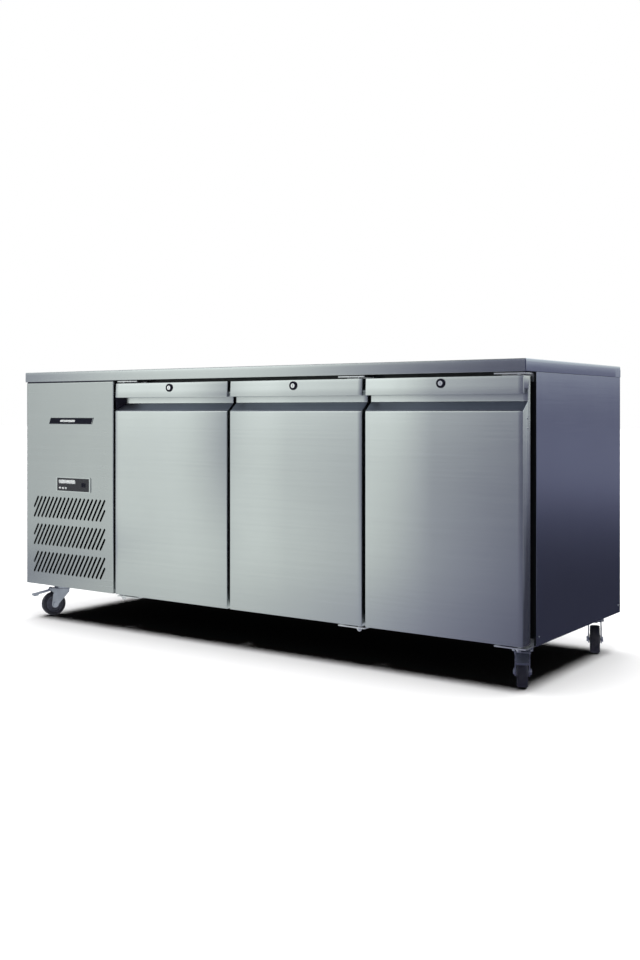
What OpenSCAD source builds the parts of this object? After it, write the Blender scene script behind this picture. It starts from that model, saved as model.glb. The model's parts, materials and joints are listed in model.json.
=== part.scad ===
// Three-door undercounter refrigerator on castors, with a machine compartment at the left end.
// Millimetres, +Z up. The origin is on the floor under the middle of the worktop; the doors face -Y.

/* [Overall size] */
// Length of the worktop from end to end
overall_w = 1860; // [1500:5:2300]
// Depth of the worktop from front to back
overall_d = 670; // [550:5:820]
// Height of the worktop above the floor
overall_h = 842; // [690:1:1020]

/* [Worktop] */
// Height of the worktop's rim
worktop_t = 33; // [20:1:60]
// Thickness of the worktop's sheet
worktop_sheet = 1.5; // [1:0.1:3]
// Width of the lips folded in under the rim
worktop_lip = 16; // [8:1:40]

/* [Cabinet] */
// Height of the cabinet's underside above the floor
castor_h = 113; // [104:1:150]
// Thickness of the foam walls
wall_t = 50; // [38:1:65]
// Thickness of the outer panels and of the liner
sheet_t = 1; // [0.6:0.1:2]
// Distance from the worktop's front edge back to the cabinet's front face
frame_setback = 65; // [62:1:90]
// Depth of the posts between the door openings
post_d = 40; // [25:1:60]
// Thickness of the foam wall beside the machine compartment
bulkhead_t = 45; // [30:1:60]
// Width of the space for the evaporator
evaporator_bay = 92; // [84:1:140]

/* [Doors] */
// Gap between neighbouring doors
door_gap = 11.1; // [10:0.1:16]
// Gap between the last door and the worktop's right end
door_margin = 9.8; // [9:0.1:20]
// Gap between the machine panel and the first door
panel_gap = 9.7; // [9.5:0.1:16]
// Gap between the doors and the worktop
door_top_gap = 9.5; // [9:0.5:20]
// Height of the doors' lower edge above the cabinet's underside
door_bottom_gap = 6; // [5.5:0.5:20]
// Distance of the door fronts behind the worktop's front edge
door_setback = 3.5; // [3:0.5:6]
// Thickness of a door without its gasket
door_t = 43.5; // [41:0.5:50]
// Thickness of a door's folded skin
skin_t = 1.2; // [0.8:0.1:2]
// Distance from a door's edge to its gasket
gasket_inset = 22; // [21:1:30]
// Width of the gasket
gasket_w = 16; // [10:1:24]

/* [Door grip] */
// Height of the strip that carries the lock
strip_h = 47; // [42:1:70]
// Height of the open mouth under the strip
mouth_h = 43; // [34:1:60]
// Depth of the finger recess
recess_d = 30; // [20:1:34]
// Depth of the pocket behind the hanging finger lip
lip_h = 14; // [6:1:20]
// Thickness of the hanging finger lip
lip_t = 10; // [6:0.5:16]
// Height of the slope below the finger recess
slope_h = 25; // [10:1:40]

/* [Locks] */
// Height of a lock's axis below the door's top edge
lock_drop = 17; // [15:0.5:24]
// Diameter of the key barrel
barrel_d = 14; // [10:0.5:18]
// Length of the key barrel
barrel_l = 24; // [18:1:28]
// Reach of the cam from the barrel's axis
cam_reach = 23.5; // [19:0.5:24]
// Width of the ring around the barrel
escutcheon_w = 5.5; // [3:0.5:8]

/* [Hinges] */
// Distance from a door's edge to its hinge pin
pin_inset = 20; // [18:0.5:21]
// Diameter of a hinge pin
pin_d = 8; // [6:0.5:10]
// Length of the pin inside the door
pin_l = 14; // [10:1:16]
// Thickness of a hinge plate
hinge_t = 3.5; // [2.5:0.5:4.5]
// Length of a hinge plate along the door
hinge_l = 85; // [50:1:110]

/* [Machine panel] */
// Width of the machine panel
panel_w = 416.5; // [345:0.5:520]
// Thickness of the machine panel's sheet
panel_t = 1.2; // [0.8:0.1:2]
// Number of full-length slots in a louvre row
slot_count = 17; // [8:1:18]
// Distance between neighbouring slots
slot_pitch = 18.75; // [14:0.25:22]
// Width of a slot
slot_w = 8; // [5:0.5:10]
// Length of a slot between the centres of its round ends
slot_l = 75; // [40:1:90]
// Lean of the slots from the vertical
slot_lean = 30; // [0:5:45]
// Number of louvre rows
row_count = 3; // [1:1:3]
// Distance between louvre rows
row_pitch = 94; // [90:1:110]
// Height of the lowest row's centre above the panel's lower edge
row_rise = 77.5; // [64:0.5:100]

/* [Controller and badge] */
// Width of the controller's bezel
bezel_w = 165; // [140:1:200]
// Height of the controller's bezel
bezel_h = 50; // [44:1:70]
// Height of the controller's middle above the top louvre row's centre
controller_rise = 80; // [72:0.5:120]
// Depth of the controller's housing behind the panel
housing_d = 55; // [30:1:58]
// Length of the badge
badge_w = 206; // [100:1:260]
// Height of the badge
badge_h = 23; // [15:1:40]
// Depth of the badge's middle below the worktop's rim
badge_drop = 132; // [60:1:160]

/* [Castors] */
// Diameter of a castor wheel
wheel_d = 80; // [60:1:82]
// Width of a castor wheel
wheel_w = 28; // [20:1:34]
// Distance from the swivel axis to the wheel's axle
trail = 30; // [24:1:34]
// Diameter of a wheel's axle
axle_d = 8; // [6:0.5:10]
// Diameter of a swivel's kingpin
kingpin_d = 12; // [10:0.5:14]
// Distance from the cabinet's side to the swivel axis
castor_inset_x = 60; // [50:1:90]
// Distance from the cabinet's front or back to the swivel axis
castor_inset_y = 48; // [44:1:90]

/* [Shelves] */
// Gap between a door opening's edge and the shelf beside it
shelf_inset = 31.3; // [24:0.1:60]
// Height of the shelves above the cold room's floor
shelf_rise = 290; // [80:5:400]
// Thickness of a shelf's rim wire
rim_wire = 6; // [4:0.5:8]
// Thickness of the wires across a shelf
grid_wire = 3.5; // [2:0.5:5]
// Number of long wires in a shelf
grid_count = 12; // [6:1:20]

/* [Cooling unit] */
// Height of the condenser
condenser_h = 290; // [200:5:320]
// Depth of the condenser
condenser_d = 52; // [30:1:70]
// Diameter of the condenser's fan
condenser_fan_d = 220; // [140:2:240]
// Diameter of the compressor's shell
compressor_d = 156; // [120:1:180]
// Height of the compressor's shell
compressor_h = 196; // [150:1:240]
// Diameter of the evaporator's fan
evaporator_fan_d = 170; // [120:2:200]
// Height of the evaporator coil
evaporator_h = 300; // [200:5:340]

/* [Hidden] */

$fn = 48;
cut = 1;            // how far a cutting shape runs past the face it cuts
run_fit = 0.05;     // radial clearance of a pin or shaft in its bore
slip = 0.2;         // clearance around a bolt or a part set in foam
seam = 0.02;        // gap between a folded sheet and what it wraps
seal_gap = 0.3;     // gap between a closed gasket and the frame
play = 0.5;         // gap around a part that moves in an opening
seal_land = 1;      // how far a gasket stays inside the frame's edge

// colours
steel = "#c4c9cc";
dark_steel = "#8d9297";
zinc = "#a9b0b6";
black = "#1c1d20";
foam_colour = "#e8dcae";
copper = "#b8703f";
aluminium = "#c9ced2";

// cabinet
top_z = overall_h - worktop_t;
body_x1 = overall_w / 2 - 1;
body_x0 = -body_x1;
front_y = -overall_d / 2 + frame_setback;
back_y = overall_d / 2 - 2;
base_z = castor_h;

// doors and machine panel, from left to right
door_count = 3;
panel_x0 = -overall_w / 2 + 5;
panel_x1 = panel_x0 + panel_w;
doors_x0 = panel_x1 + panel_gap;
doors_x1 = overall_w / 2 - door_margin;
door_w = (doors_x1 - doors_x0 - (door_count - 1) * door_gap) / door_count;
door_z0 = base_z + door_bottom_gap;
door_z1 = top_z - door_top_gap;
door_y0 = -overall_d / 2 + door_setback;
door_y1 = door_y0 + door_t;
gasket_d = front_y - seal_gap - door_y1;
function door_x(i) = doors_x0 + i * (door_w + door_gap);
function door_mid(i) = door_x(i) + door_w / 2;
// the first door hangs on its left edge and the other two on their right edges
function hinge_side(i) = i == 0 ? -1 : 1;
function pin_x(i) = door_mid(i) + hinge_side(i) * (door_w / 2 - pin_inset);
pin_y = door_y0 + pin_inset;
bush_d = pin_d + 9;
bush_floor = 2;

// cold room
seal_span = gasket_inset + gasket_w + seal_land;
opening_w = door_w - 2 * seal_span;
cold_x1 = body_x1 - sheet_t;
room_x1 = door_mid(2) + opening_w / 2 + 4;
room_x0 = door_mid(0) - opening_w / 2 - evaporator_bay;
cold_x0 = room_x0 - bulkhead_t;
room_y0 = front_y + post_d;
room_y1 = back_y - sheet_t - wall_t;
room_z0 = base_z + wall_t;
room_z1 = top_z - wall_t;
opening_z0 = max(room_z0, door_z0 + seal_span);
opening_z1 = min(room_z1, door_z1 - seal_span);

// machine compartment
machine_x0 = body_x0 + sheet_t;
machine_x1 = cold_x0;
machine_mid = (machine_x0 + machine_x1) / 2;
tray_z = base_z + 4;
tray_t = 1.5;
tray_w = machine_x1 - machine_x0 - 16;
unit_w = tray_w - 2 * tray_t - 4;
condenser_y = front_y + 8;
condenser_z = tray_z + tray_t;
unit_x0 = machine_mid - unit_w / 2 + 12;
unit_x1 = machine_mid + unit_w / 2 - 12;
shroud_y = condenser_y + condenser_d;
shroud_d = 42;
condenser_fan_z = condenser_z + condenser_h / 2;
condenser_fan_y = shroud_y + 18;
fan_blade_d = 24;
motor_y = shroud_y + shroud_d + 14;
motor_d = 74;
motor_l = 52;
compressor_x = machine_mid + 20;
compressor_y = back_y - 150;
foot_h = 14;
compressor_z = tray_z + tray_t + foot_h;
pipe_y = back_y - 90;
pipe_z = room_z1 - 110;
pipe_pitch = 22;
suction_r = 6;
liquid_r = 4;
pipe_hole_r = suction_r + 2;
drier_l = 92;
drier_r = 13;
drier_x = machine_x0 + 40;
drier_y = shroud_y + 20;

// evaporator
cover_x = door_mid(0) - opening_w / 2 - 12;
cover_t = 1.2;
coil_t = 40;
coil_x0 = room_x0 + 5;
coil_z1 = room_z1 - 14;
coil_z0 = coil_z1 - evaporator_h;
coil_y0 = room_y0 + 60;
coil_y1 = room_y1 - 110;
evaporator_fan_y = (coil_y0 + coil_y1) / 2;
evaporator_fan_z = (coil_z0 + coil_z1) / 2;
evaporator_fan_x = cover_x - 21;

// shelves
shelf_w = opening_w - 2 * shelf_inset;
shelf_y0 = room_y0 + 6;
shelf_y1 = room_y1 - 6;
shelf_z = room_z0 + shelf_rise;
runner_t = 1.5;
runner_gap = 1.5;
runner_h = 24;
upright_d = 12;
upright_w = 24;

// lock
lock_z = door_z1 - lock_drop;
lock_body_d = barrel_d + 5;
cam_t = 3;
cam_w = 9;
cam_back = barrel_l - 1;

// castors
axle_z = wheel_d / 2;
crown_t = 5;
crown_z = base_z - 25;
leg_t = 3;
leg_gap = 2.5;
leg_x = wheel_w / 2 + leg_gap;
plate_t = 3;
race_z = crown_z + crown_t + 0.4;
pedal_u = trail + 6;
pedal_z = crown_z + 1;
pedal_pin_d = 5;
pedal_reach = 68;
bolt_d = 8;
bolt_head_h = 5;
bolt_reach = 3.5;
bolt_dx = 36;
bolt_dy = 28;
swivel_x = body_x1 - castor_inset_x;
swivel_front_y = front_y + castor_inset_y;
swivel_rear_y = back_y - castor_inset_y;
front_left = [-swivel_x, swivel_front_y, 0];
front_right = [swivel_x, swivel_front_y, 0];
rear_left = [-swivel_x, swivel_rear_y, 0];
rear_right = [swivel_x, swivel_rear_y, 0];
castor_places = [front_left, front_right, rear_left, rear_right];
// turn of each castor from straight ahead
turn_front_left = -24;
turn_front_right = 24;
turn_rear_left = -35;
turn_rear_right = 22;

// mains inlet
gland_z = base_z + 400;
gland_r = 9;
cord_r = 4.5;

// louvres, controller and badge
panel_mid = (panel_x0 + panel_x1) / 2;
row_z = door_z0 + row_rise;
controller_x = panel_mid + 23;
controller_z = row_z + (row_count - 1) * row_pitch + controller_rise;
bezel_t = 2.2;
window_w = bezel_w - 13;
window_h = bezel_h - 7;
window_t = 1.4;
key_w = 9;
key_h = 6;
key_x0 = -62;
key_pitch = 14;
key_dz = -12;
key_travel = 0.8;
switch_x = 50;
switch_w = 18;
switch_h = 11;
switch_depth = 9;
badge_x = panel_mid + 11;
badge_z = top_z - badge_drop;

// ---------------------------------------------------------------- helpers

// A box between two corners
module box(low, high) {
    translate(low) cube(high - low);
}

// A box around a middle, in X and Z, from y0 to y1
module front_box(x, z, w, h, y0, y1) {
    box([x - w / 2, y0, z - h / 2], [x + w / 2, y1, z + h / 2]);
}

// A plate with round corners in the X-Z plane, from y0 to y1
module rounded_plate(x, z, w, h, r, y0, y1) {
    front_box(x, z, w - 2 * r, h, y0, y1);
    front_box(x, z, w, h - 2 * r, y0, y1);
    for (sx = [-1, 1], sz = [-1, 1])
        rod_y([x + sx * (w / 2 - r), y0, z + sz * (h / 2 - r)], r, y1 - y0);
}

module rod_y(start, r, l) {
    translate(start) rotate([-90, 0, 0]) cylinder(r = r, h = l);
}

module rod_x(start, r, l) {
    translate(start) rotate([0, 90, 0]) cylinder(r = r, h = l);
}

// A round pipe along points that are joined by straight runs
module pipe(points, r) {
    for (i = [0 : len(points) - 2]) {
        run = points[i + 1] - points[i];
        turn_z = atan2(run[1], run[0]);
        tilt = acos(run[2] / norm(run));
        translate(points[i]) rotate([0, tilt, turn_z]) cylinder(r = r, h = norm(run));
    }
    for (i = [1 : len(points) - 2])
        translate(points[i]) sphere(r = r, $fn = 32);
}

// Places a castor's local frame, whose trail runs along -Y, at a swivel axis
module at_castor(place, turn) {
    translate(place) rotate([0, 0, turn]) children();
}

module castor_bolt_holes(z0, z1) {
    for (p = castor_places, sx = [-1, 1], sy = [-1, 1])
        translate([p[0] + sx * bolt_dx, p[1] + sy * bolt_dy, z0])
            cylinder(r = bolt_d / 2 + slip, h = z1 - z0);
}

// The refrigerant pipes' way through the wall of the cold room
module pipe_way(x0, x1) {
    for (z = [pipe_z, pipe_z + pipe_pitch])
        rod_x([x0, pipe_y, z], pipe_hole_r, x1 - x0);
}

// ---------------------------------------------------------------- cabinet

// Folded sheet: a top, four rims and lips turned in below
module worktop() {
    t = worktop_sheet;
    hw = overall_w / 2;
    hd = overall_d / 2;
    color(steel) difference() {
        box([-hw, -hd, top_z], [hw, hd, overall_h]);
        box([-hw + t, -hd + t, top_z + t], [hw - t, hd - t, overall_h - t]);
        box([-hw + worktop_lip, front_y + worktop_lip, top_z - cut],
            [hw - worktop_lip, hd - worktop_lip, top_z + t + cut]);
    }
}

module side_panel_left() {
    flange = 26;
    color(steel) {
        box([body_x0, front_y, base_z], [body_x0 + sheet_t, back_y, top_z]);
        box([body_x0 + sheet_t, front_y, base_z + 20],
            [body_x0 + sheet_t + flange, front_y + sheet_t, top_z]);
    }
}

module side_panel_right() {
    color(steel) box([body_x1 - sheet_t, front_y, base_z], [body_x1, back_y, top_z]);
}

// The back, with air slots behind the machine compartment and a hole for the mains gland
module back_panel() {
    vents = 12;
    pitch = (machine_x1 - machine_x0 - 60) / (vents - 1);
    color(steel) difference() {
        box([body_x0 + sheet_t, back_y - sheet_t, base_z], [body_x1 - sheet_t, back_y, top_z]);
        for (i = [0 : vents - 1], z = [base_z + 60, base_z + 190])
            box([machine_x0 + 30 + i * pitch - 3.5, back_y - sheet_t - cut, z],
                [machine_x0 + 30 + i * pitch + 3.5, back_y + cut, z + 90]);
        rod_y([machine_mid, back_y - sheet_t - cut, gland_z], gland_r + play, sheet_t + 2 * cut);
    }
}

module base_panel() {
    color(steel) difference() {
        box([body_x0 + sheet_t, front_y, base_z],
            [body_x1 - sheet_t, back_y - sheet_t, base_z + sheet_t]);
        castor_bolt_holes(base_z - cut, base_z + sheet_t + cut);
    }
}

// Foam panels around the cold room, the posts between the doors, and the slab in the worktop
module insulation() {
    x0 = cold_x0 + sheet_t;
    y0 = front_y + sheet_t;
    y1 = back_y - sheet_t;
    floor_z = room_z0 - sheet_t;
    ceiling_z = room_z1 + sheet_t;
    wall_z0 = floor_z + seam;
    wall_z1 = ceiling_z - seam;
    post_y1 = room_y0 - sheet_t;
    wall_y1 = room_y1 + sheet_t - seam;
    w = worktop_sheet + play;
    color(foam_colour) {
        difference() {
            box([x0, y0, base_z + sheet_t], [cold_x1, y1, floor_z]);
            castor_bolt_holes(base_z, base_z + bolt_reach + play);
        }
        box([x0, y0, ceiling_z], [cold_x1, y1, top_z]);
        difference() {
            box([x0, y0, wall_z0], [cold_x1, post_y1, wall_z1]);
            for (i = [0 : door_count - 1])
                opening_box(i, sheet_t, y0 - cut, post_y1 + cut);
        }
        difference() {
            box([x0, post_y1 + seam, wall_z0], [room_x0 - sheet_t, wall_y1, wall_z1]);
            pipe_way(cold_x0 - cut, room_x0 + cut);
        }
        box([room_x1 + sheet_t, post_y1 + seam, wall_z0], [cold_x1, wall_y1, wall_z1]);
        box([x0, room_y1 + sheet_t, wall_z0], [cold_x1, y1, wall_z1]);
        box([-overall_w / 2 + w, -overall_d / 2 + w, top_z + w],
            [overall_w / 2 - w, overall_d / 2 - w, overall_h - w]);
    }
}

// The space of one door opening, grown by a margin, between two depths
module opening_box(i, grow, y0, y1) {
    box([door_mid(i) - opening_w / 2 - grow, y0, opening_z0 - grow],
        [door_mid(i) + opening_w / 2 + grow, y1, opening_z1 + grow]);
}

// Sheet that lines the cold room, and the sheet on the machine side of its wall
module inner_liner() {
    t = sheet_t;
    color(steel) difference() {
        union() {
            difference() {
                box([room_x0 - t, room_y0 - t, room_z0 - t], [room_x1 + t, room_y1 + t, room_z1 + t]);
                box([room_x0, room_y0, room_z0], [room_x1, room_y1, room_z1]);
            }
            box([cold_x0, front_y + t, base_z + t], [cold_x0 + t, back_y - t, top_z]);
        }
        for (i = [0 : door_count - 1])
            opening_box(i, t, front_y - cut, room_y0 + cut);
        pipe_way(cold_x0 - cut, room_x0 + cut);
    }
}

// Front face of the cold box, with a return around each door opening
module front_frame() {
    t = sheet_t;
    color(steel) difference() {
        union() {
            box([cold_x0, front_y, base_z + t], [cold_x1, front_y + t, top_z]);
            for (i = [0 : door_count - 1])
                opening_box(i, t, front_y, room_y0);
        }
        for (i = [0 : door_count - 1])
            opening_box(i, 0, front_y - cut, room_y0 + cut);
    }
}

// Slotted uprights and the angle runners that carry the shelves
module shelf_supports() {
    color(steel) for (i = [0 : door_count - 1], side = [-1, 1]) {
        translate([door_mid(i), 0, 0]) mirror([side < 0 ? 1 : 0, 0, 0]) {
            runner();
            for (y = [room_y0 + 70, room_y1 - 70 - upright_w])
                upright(y);
        }
    }
}

module upright(y) {
    x0 = shelf_w / 2 + runner_gap + runner_t;
    slots = 8;
    pitch = (room_z1 - room_z0 - 60) / (slots - 1);
    difference() {
        box([x0, y, room_z0], [x0 + upright_d, y + upright_w, room_z1]);
        box([x0 + runner_t, y + runner_t, room_z0 - cut],
            [x0 + upright_d + cut, y + upright_w - runner_t, room_z1 + cut]);
        for (k = [0 : slots - 1])
            box([x0 - cut, y + upright_w / 2 - 5, room_z0 + 28 + k * pitch],
                [x0 + runner_t + cut, y + upright_w / 2 + 5, room_z0 + 32 + k * pitch]);
    }
}

module runner() {
    x0 = shelf_w / 2 - 14;
    x1 = shelf_w / 2 + runner_gap;
    box([x1, shelf_y0, shelf_z - runner_t], [x1 + runner_t, shelf_y1, shelf_z + runner_h]);
    box([x0, shelf_y0, shelf_z - runner_t], [x1, shelf_y1, shelf_z]);
    box([x0 + 4, shelf_y0, shelf_z + runner_h - runner_t], [x1, shelf_y1, shelf_z + runner_h]);
}

module wire_shelves() {
    color(aluminium) for (i = [0 : door_count - 1])
        translate([door_mid(i), 0, shelf_z + rim_wire / 2]) wire_shelf();
}

// One shelf: a rim, three wires across and a grid of long wires welded on top
module wire_shelf() {
    r = rim_wire / 2;
    hw = shelf_w / 2 - r;
    y0 = shelf_y0 + 2 + r;
    y1 = shelf_y1 - 2 - r;
    g = grid_wire / 2;
    for (sx = [-1, 1])
        rod_y([sx * hw, y0, 0], r, y1 - y0);
    for (y = [y0, y1])
        rod_x([-hw, y, 0], r, 2 * hw);
    for (sx = [-1, 1], y = [y0, y1])
        translate([sx * hw, y, 0]) sphere(r = r, $fn = 32);
    for (k = [1 : 3])
        rod_x([-hw, y0 + k * (y1 - y0) / 4, 0], r * 0.8, 2 * hw);
    for (k = [1 : grid_count])
        rod_y([-hw + k * 2 * hw / (grid_count + 1), y0 - g, r * 0.8 + g - 0.6], g, y1 - y0 + 2 * g);
}

// Plates that carry the door pins, one above and one below each door
module hinge_brackets() {
    color(zinc) for (i = [0 : door_count - 1]) {
        hinge_bracket(i, door_z1 + (door_top_gap - hinge_t) / 2 + 0.8, 1);
        hinge_bracket(i, base_z - hinge_t + 1, -1);
    }
}

// A plate, a flange on the frame's face and a pin that points into the door
module hinge_bracket(i, z, up) {
    side = hinge_side(i);
    edge = door_mid(i) + side * door_w / 2;
    inner = edge - side * hinge_l;
    outer = edge + side * 2;
    flange_h = 22;
    flange_z = up > 0 ? z + hinge_t - flange_h : z;
    pin_z = up > 0 ? door_z1 - pin_l : z + hinge_t / 2;
    pin_end = up > 0 ? z + hinge_t / 2 : door_z0 + pin_l;
    x0 = min(inner, outer);
    x1 = max(inner, outer);
    box([x0, pin_y - pin_d / 2 - 5, z], [x1, front_y, z + hinge_t]);
    box([x0, front_y - 3, flange_z], [x1, front_y, flange_z + flange_h]);
    translate([pin_x(i), pin_y, pin_z]) cylinder(d = pin_d, h = pin_end - pin_z);
}

// ---------------------------------------------------------------- machine panel

// A tray of folded sheet in front of the machine compartment, cut by leaning slots
module machine_panel() {
    t = panel_t;
    z0 = door_z0;
    z1 = top_z - 3;
    lip = 14;
    color(steel) difference() {
        box([panel_x0, door_y0, z0], [panel_x1, front_y - 0.5, z1]);
        box([panel_x0 + t, door_y0 + t, z0 + t], [panel_x1 - t, front_y - 0.5 - t, z1 - t]);
        box([panel_x0 + lip, door_y0 + t, z0 + lip], [panel_x1 - lip, front_y + cut, z1 - lip]);
        louvres();
        front_box(controller_x, controller_z, window_w - 8, window_h - 6, door_y0 - cut, door_y0 + t + cut);
    }
}

// Rows of round-ended slots; the two end slots of a row are cut short to keep the row's ends upright
module louvres() {
    half_run = (slot_count - 1) * slot_pitch / 2 + slot_l / 2 * sin(slot_lean);
    for (row = [0 : row_count - 1], k = [-1 : slot_count]) {
        x = (k - (slot_count - 1) / 2) * slot_pitch;
        t0 = max(-slot_l / 2, (-half_run - x) / sin(slot_lean));
        t1 = min(slot_l / 2, (half_run - x) / sin(slot_lean));
        translate([panel_mid + x, door_y0 - cut, row_z + row * row_pitch])
            rotate([0, slot_lean, 0])
                round_slot(t0, t1);
    }
}

module round_slot(t0, t1) {
    depth = panel_t + 2 * cut;
    box([-slot_w / 2, 0, t0], [slot_w / 2, depth, t1]);
    rod_y([0, 0, t0], slot_w / 2, depth);
    rod_y([0, 0, t1], slot_w / 2, depth);
}

// A leaning plate with a raised rim and a blank bar
module badge() {
    lean = 9;
    rim = 1.4;
    color(black) translate([badge_x, door_y0, badge_z]) rotate([90, 0, 0]) {
        linear_extrude(1) badge_outline(badge_w, badge_h, lean);
        linear_extrude(1.6) difference() {
            badge_outline(badge_w, badge_h, lean);
            badge_outline(badge_w - 2 * rim, badge_h - 2 * rim, lean * (1 - 2 * rim / badge_h));
        }
        linear_extrude(1.4) translate([-badge_w * 0.08, 0]) badge_outline(badge_w * 0.34, 8, 3);
    }
}

module badge_outline(w, h, lean) {
    polygon([[-w / 2 - lean / 2, -h / 2], [w / 2 - lean / 2, -h / 2],
             [w / 2 + lean / 2, h / 2], [-w / 2 + lean / 2, h / 2]]);
}

function key_x(k) = controller_x + key_x0 + k * key_pitch;

// Bezel in front of the panel and a box behind it, with ways for the keys and the switch
module controller_housing() {
    color(zinc) difference() {
        union() {
            rounded_plate(controller_x, controller_z, bezel_w, bezel_h, 5, door_y0 - bezel_t, door_y0);
            front_box(controller_x, controller_z, window_w - 10, window_h - 8, door_y0, door_y0 + housing_d);
        }
        front_box(controller_x, controller_z, window_w, window_h, door_y0 - bezel_t - cut,
                  door_y0 - bezel_t + window_t);
        for (k = [0 : 2])
            front_box(key_x(k), controller_z + key_dz, key_w + 2 * play, key_h + 2 * play,
                      door_y0 - bezel_t - cut, door_y0 + 7);
        front_box(controller_x + switch_x, controller_z, switch_w + 2 * play, switch_h + 5,
                  door_y0 - bezel_t - cut, door_y0 + 14);
    }
}

module display_window() {
    y0 = door_y0 - bezel_t;
    color(black) difference() {
        front_box(controller_x, controller_z, window_w - 0.4, window_h - 0.4, y0, y0 + window_t);
        for (k = [0 : 2])
            front_box(key_x(k), controller_z + key_dz, key_w + 2 * play, key_h + 2 * play,
                      y0 - cut, y0 + window_t + cut);
        front_box(controller_x + switch_x, controller_z, switch_w + 2 * play, switch_h + 3,
                  y0 - cut, y0 + window_t + cut);
    }
}

module key(k) {
    y0 = door_y0 - bezel_t;
    color(zinc) front_box(key_x(k), controller_z + key_dz, key_w, key_h, y0 - 0.9, y0 + 7);
}

// A rocker that tips about a bar along X behind its face
module power_switch() {
    y0 = door_y0 - bezel_t - 0.8;
    color(black) {
        front_box(controller_x + switch_x, controller_z, switch_w, switch_h, y0, y0 + 4);
        rod_x([controller_x + switch_x - switch_w / 2, y0 + 6, controller_z], 4, switch_w);
    }
}

// ---------------------------------------------------------------- cooling unit

module unit_tray() {
    t = tray_t;
    x0 = machine_mid - tray_w / 2;
    x1 = machine_mid + tray_w / 2;
    rim = 16;
    y0 = front_y + 4;
    y1 = back_y - 30;
    color(zinc) {
        difference() {
            box([x0, y0, tray_z], [x1, y1, tray_z + rim]);
            box([x0 + t, y0 + t, tray_z + t], [x1 - t, y1 - t, tray_z + rim + cut]);
        }
        for (x = [x0 + 20, x1 - 34])
            box([x, y0, base_z + sheet_t], [x + 14, y1, tray_z]);
    }
}

// Tubes through a stack of fins, with end plates
module fin_coil(low, high, fins, rows, tube_r) {
    w = high[0] - low[0];
    h = high[2] - low[2];
    y = (low[1] + high[1]) / 2;
    for (k = [0 : fins]) {
        t = k == 0 || k == fins ? 1.6 : 0.7;
        x = low[0] + k * (w - t) / fins;
        box([x, low[1], low[2]], [x + t, high[1], high[2]]);
    }
    for (k = [0 : rows - 1])
        rod_x([low[0], y, low[2] + (k + 0.5) * h / rows], tube_r, w);
}

module condenser_coil() {
    color(aluminium) fin_coil(
        [unit_x0, condenser_y, condenser_z],
        [unit_x1, condenser_y + condenser_d, condenser_z + condenser_h],
        26, 6, 5);
}

// Shroud behind the condenser, with the fan's ring, and the motor on its arms
module condenser_fan_frame() {
    t = 1.5;
    w = unit_w - 24;
    h = condenser_h;
    y0 = shroud_y + 0.5;
    y1 = shroud_y + shroud_d;
    hole_r = condenser_fan_d / 2 + 5;
    x = machine_mid;
    z = condenser_fan_z;
    arm_w = 14;
    color(dark_steel) {
        difference() {
            union() {
                front_box(x, z, w, h, y0, y0 + 10);
                rod_y([x, y0, z], hole_r + t, y1 - y0);
            }
            front_box(x, z, w - 2 * t, h - 2 * t, y0 - cut, y0 + 10 - t);
            rod_y([x, y0 - cut, z], hole_r, y1 - y0 + 2 * cut);
        }
        difference() {
            union() {
                rod_y([x, motor_y, z], motor_d / 2, motor_l);
                front_box(x, z, 2 * hole_r + 2 * t, arm_w, y1, y1 + 3);
                for (sx = [-1, 1])
                    front_box(x + sx * (motor_d / 2 - 8), z, 12, arm_w, y1, motor_y + 4);
            }
            rod_y([x, y1 - cut, z], 4 + run_fit, motor_l + 20);
        }
    }
}

// Blades on a hub, about an axis along -Y
module fan(d, depth, blades, hub_d, pitch_angle) {
    rod_y([0, 0, 0], hub_d / 2, depth);
    for (k = [0 : blades - 1])
        rotate([0, k * 360 / blades, 0])
            intersection() {
                translate([0, depth / 2, hub_d / 2 - 3])
                    rotate([0, 0, pitch_angle])
                        box([-d / 7, -1, 0], [d / 7, 1, d / 2 - hub_d / 2 + 3]);
                rod_y([0, 0, 0], d / 2, depth);
            }
}

module condenser_fan() {
    color(black) translate([machine_mid, condenser_fan_y, condenser_fan_z]) {
        fan(condenser_fan_d, fan_blade_d, 5, 52, 32);
        rod_y([0, 0, 0], 4, motor_y - condenser_fan_y + 22);
    }
}

// Hermetic shell on a foot plate, hollow like the real one, with its terminal cover
module compressor() {
    r = compressor_d / 2;
    h = compressor_h;
    wall = 9;
    bead = 3;
    color(black) translate([compressor_x, compressor_y, compressor_z]) {
        difference() {
            rotate_extrude() union() {
                polygon([[0, 3], [r * 0.6, 3], [r, 24], [r, h - 44], [r * 0.86, h - 16],
                         [r * 0.5, h], [0, h]]);
                translate([0, h * 0.52]) square([r + bead, 5]);
            }
            translate([0, 0, 22]) cylinder(r = r - wall, h = h - 66);
        }
        box([-r - 14, -60, 0], [r + 14, 60, 3]);
        for (sx = [-1, 1], sy = [-1, 1])
            translate([sx * (r + 2), sy * 46, -foot_h]) cylinder(r = 11, h = foot_h);
        box([-24, -r - 22, h * 0.5], [24, -r + 12, h * 0.5 + 52]);
    }
}

module evaporator_coil() {
    fins = 24;
    tubes = 6;
    fin_t = 0.8;
    coil_w = coil_y1 - coil_y0;
    color(aluminium) {
        for (k = [0 : fins])
            box([coil_x0, coil_y0 + k * (coil_w - fin_t) / fins, coil_z0],
                [coil_x0 + coil_t, coil_y0 + k * (coil_w - fin_t) / fins + fin_t, coil_z1]);
        for (k = [0 : tubes - 1])
            rod_y([coil_x0 + coil_t / 2, coil_y0 - 6, coil_z0 + (k + 0.5) * evaporator_h / tubes],
                  4.5, coil_w + 12);
    }
}

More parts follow.
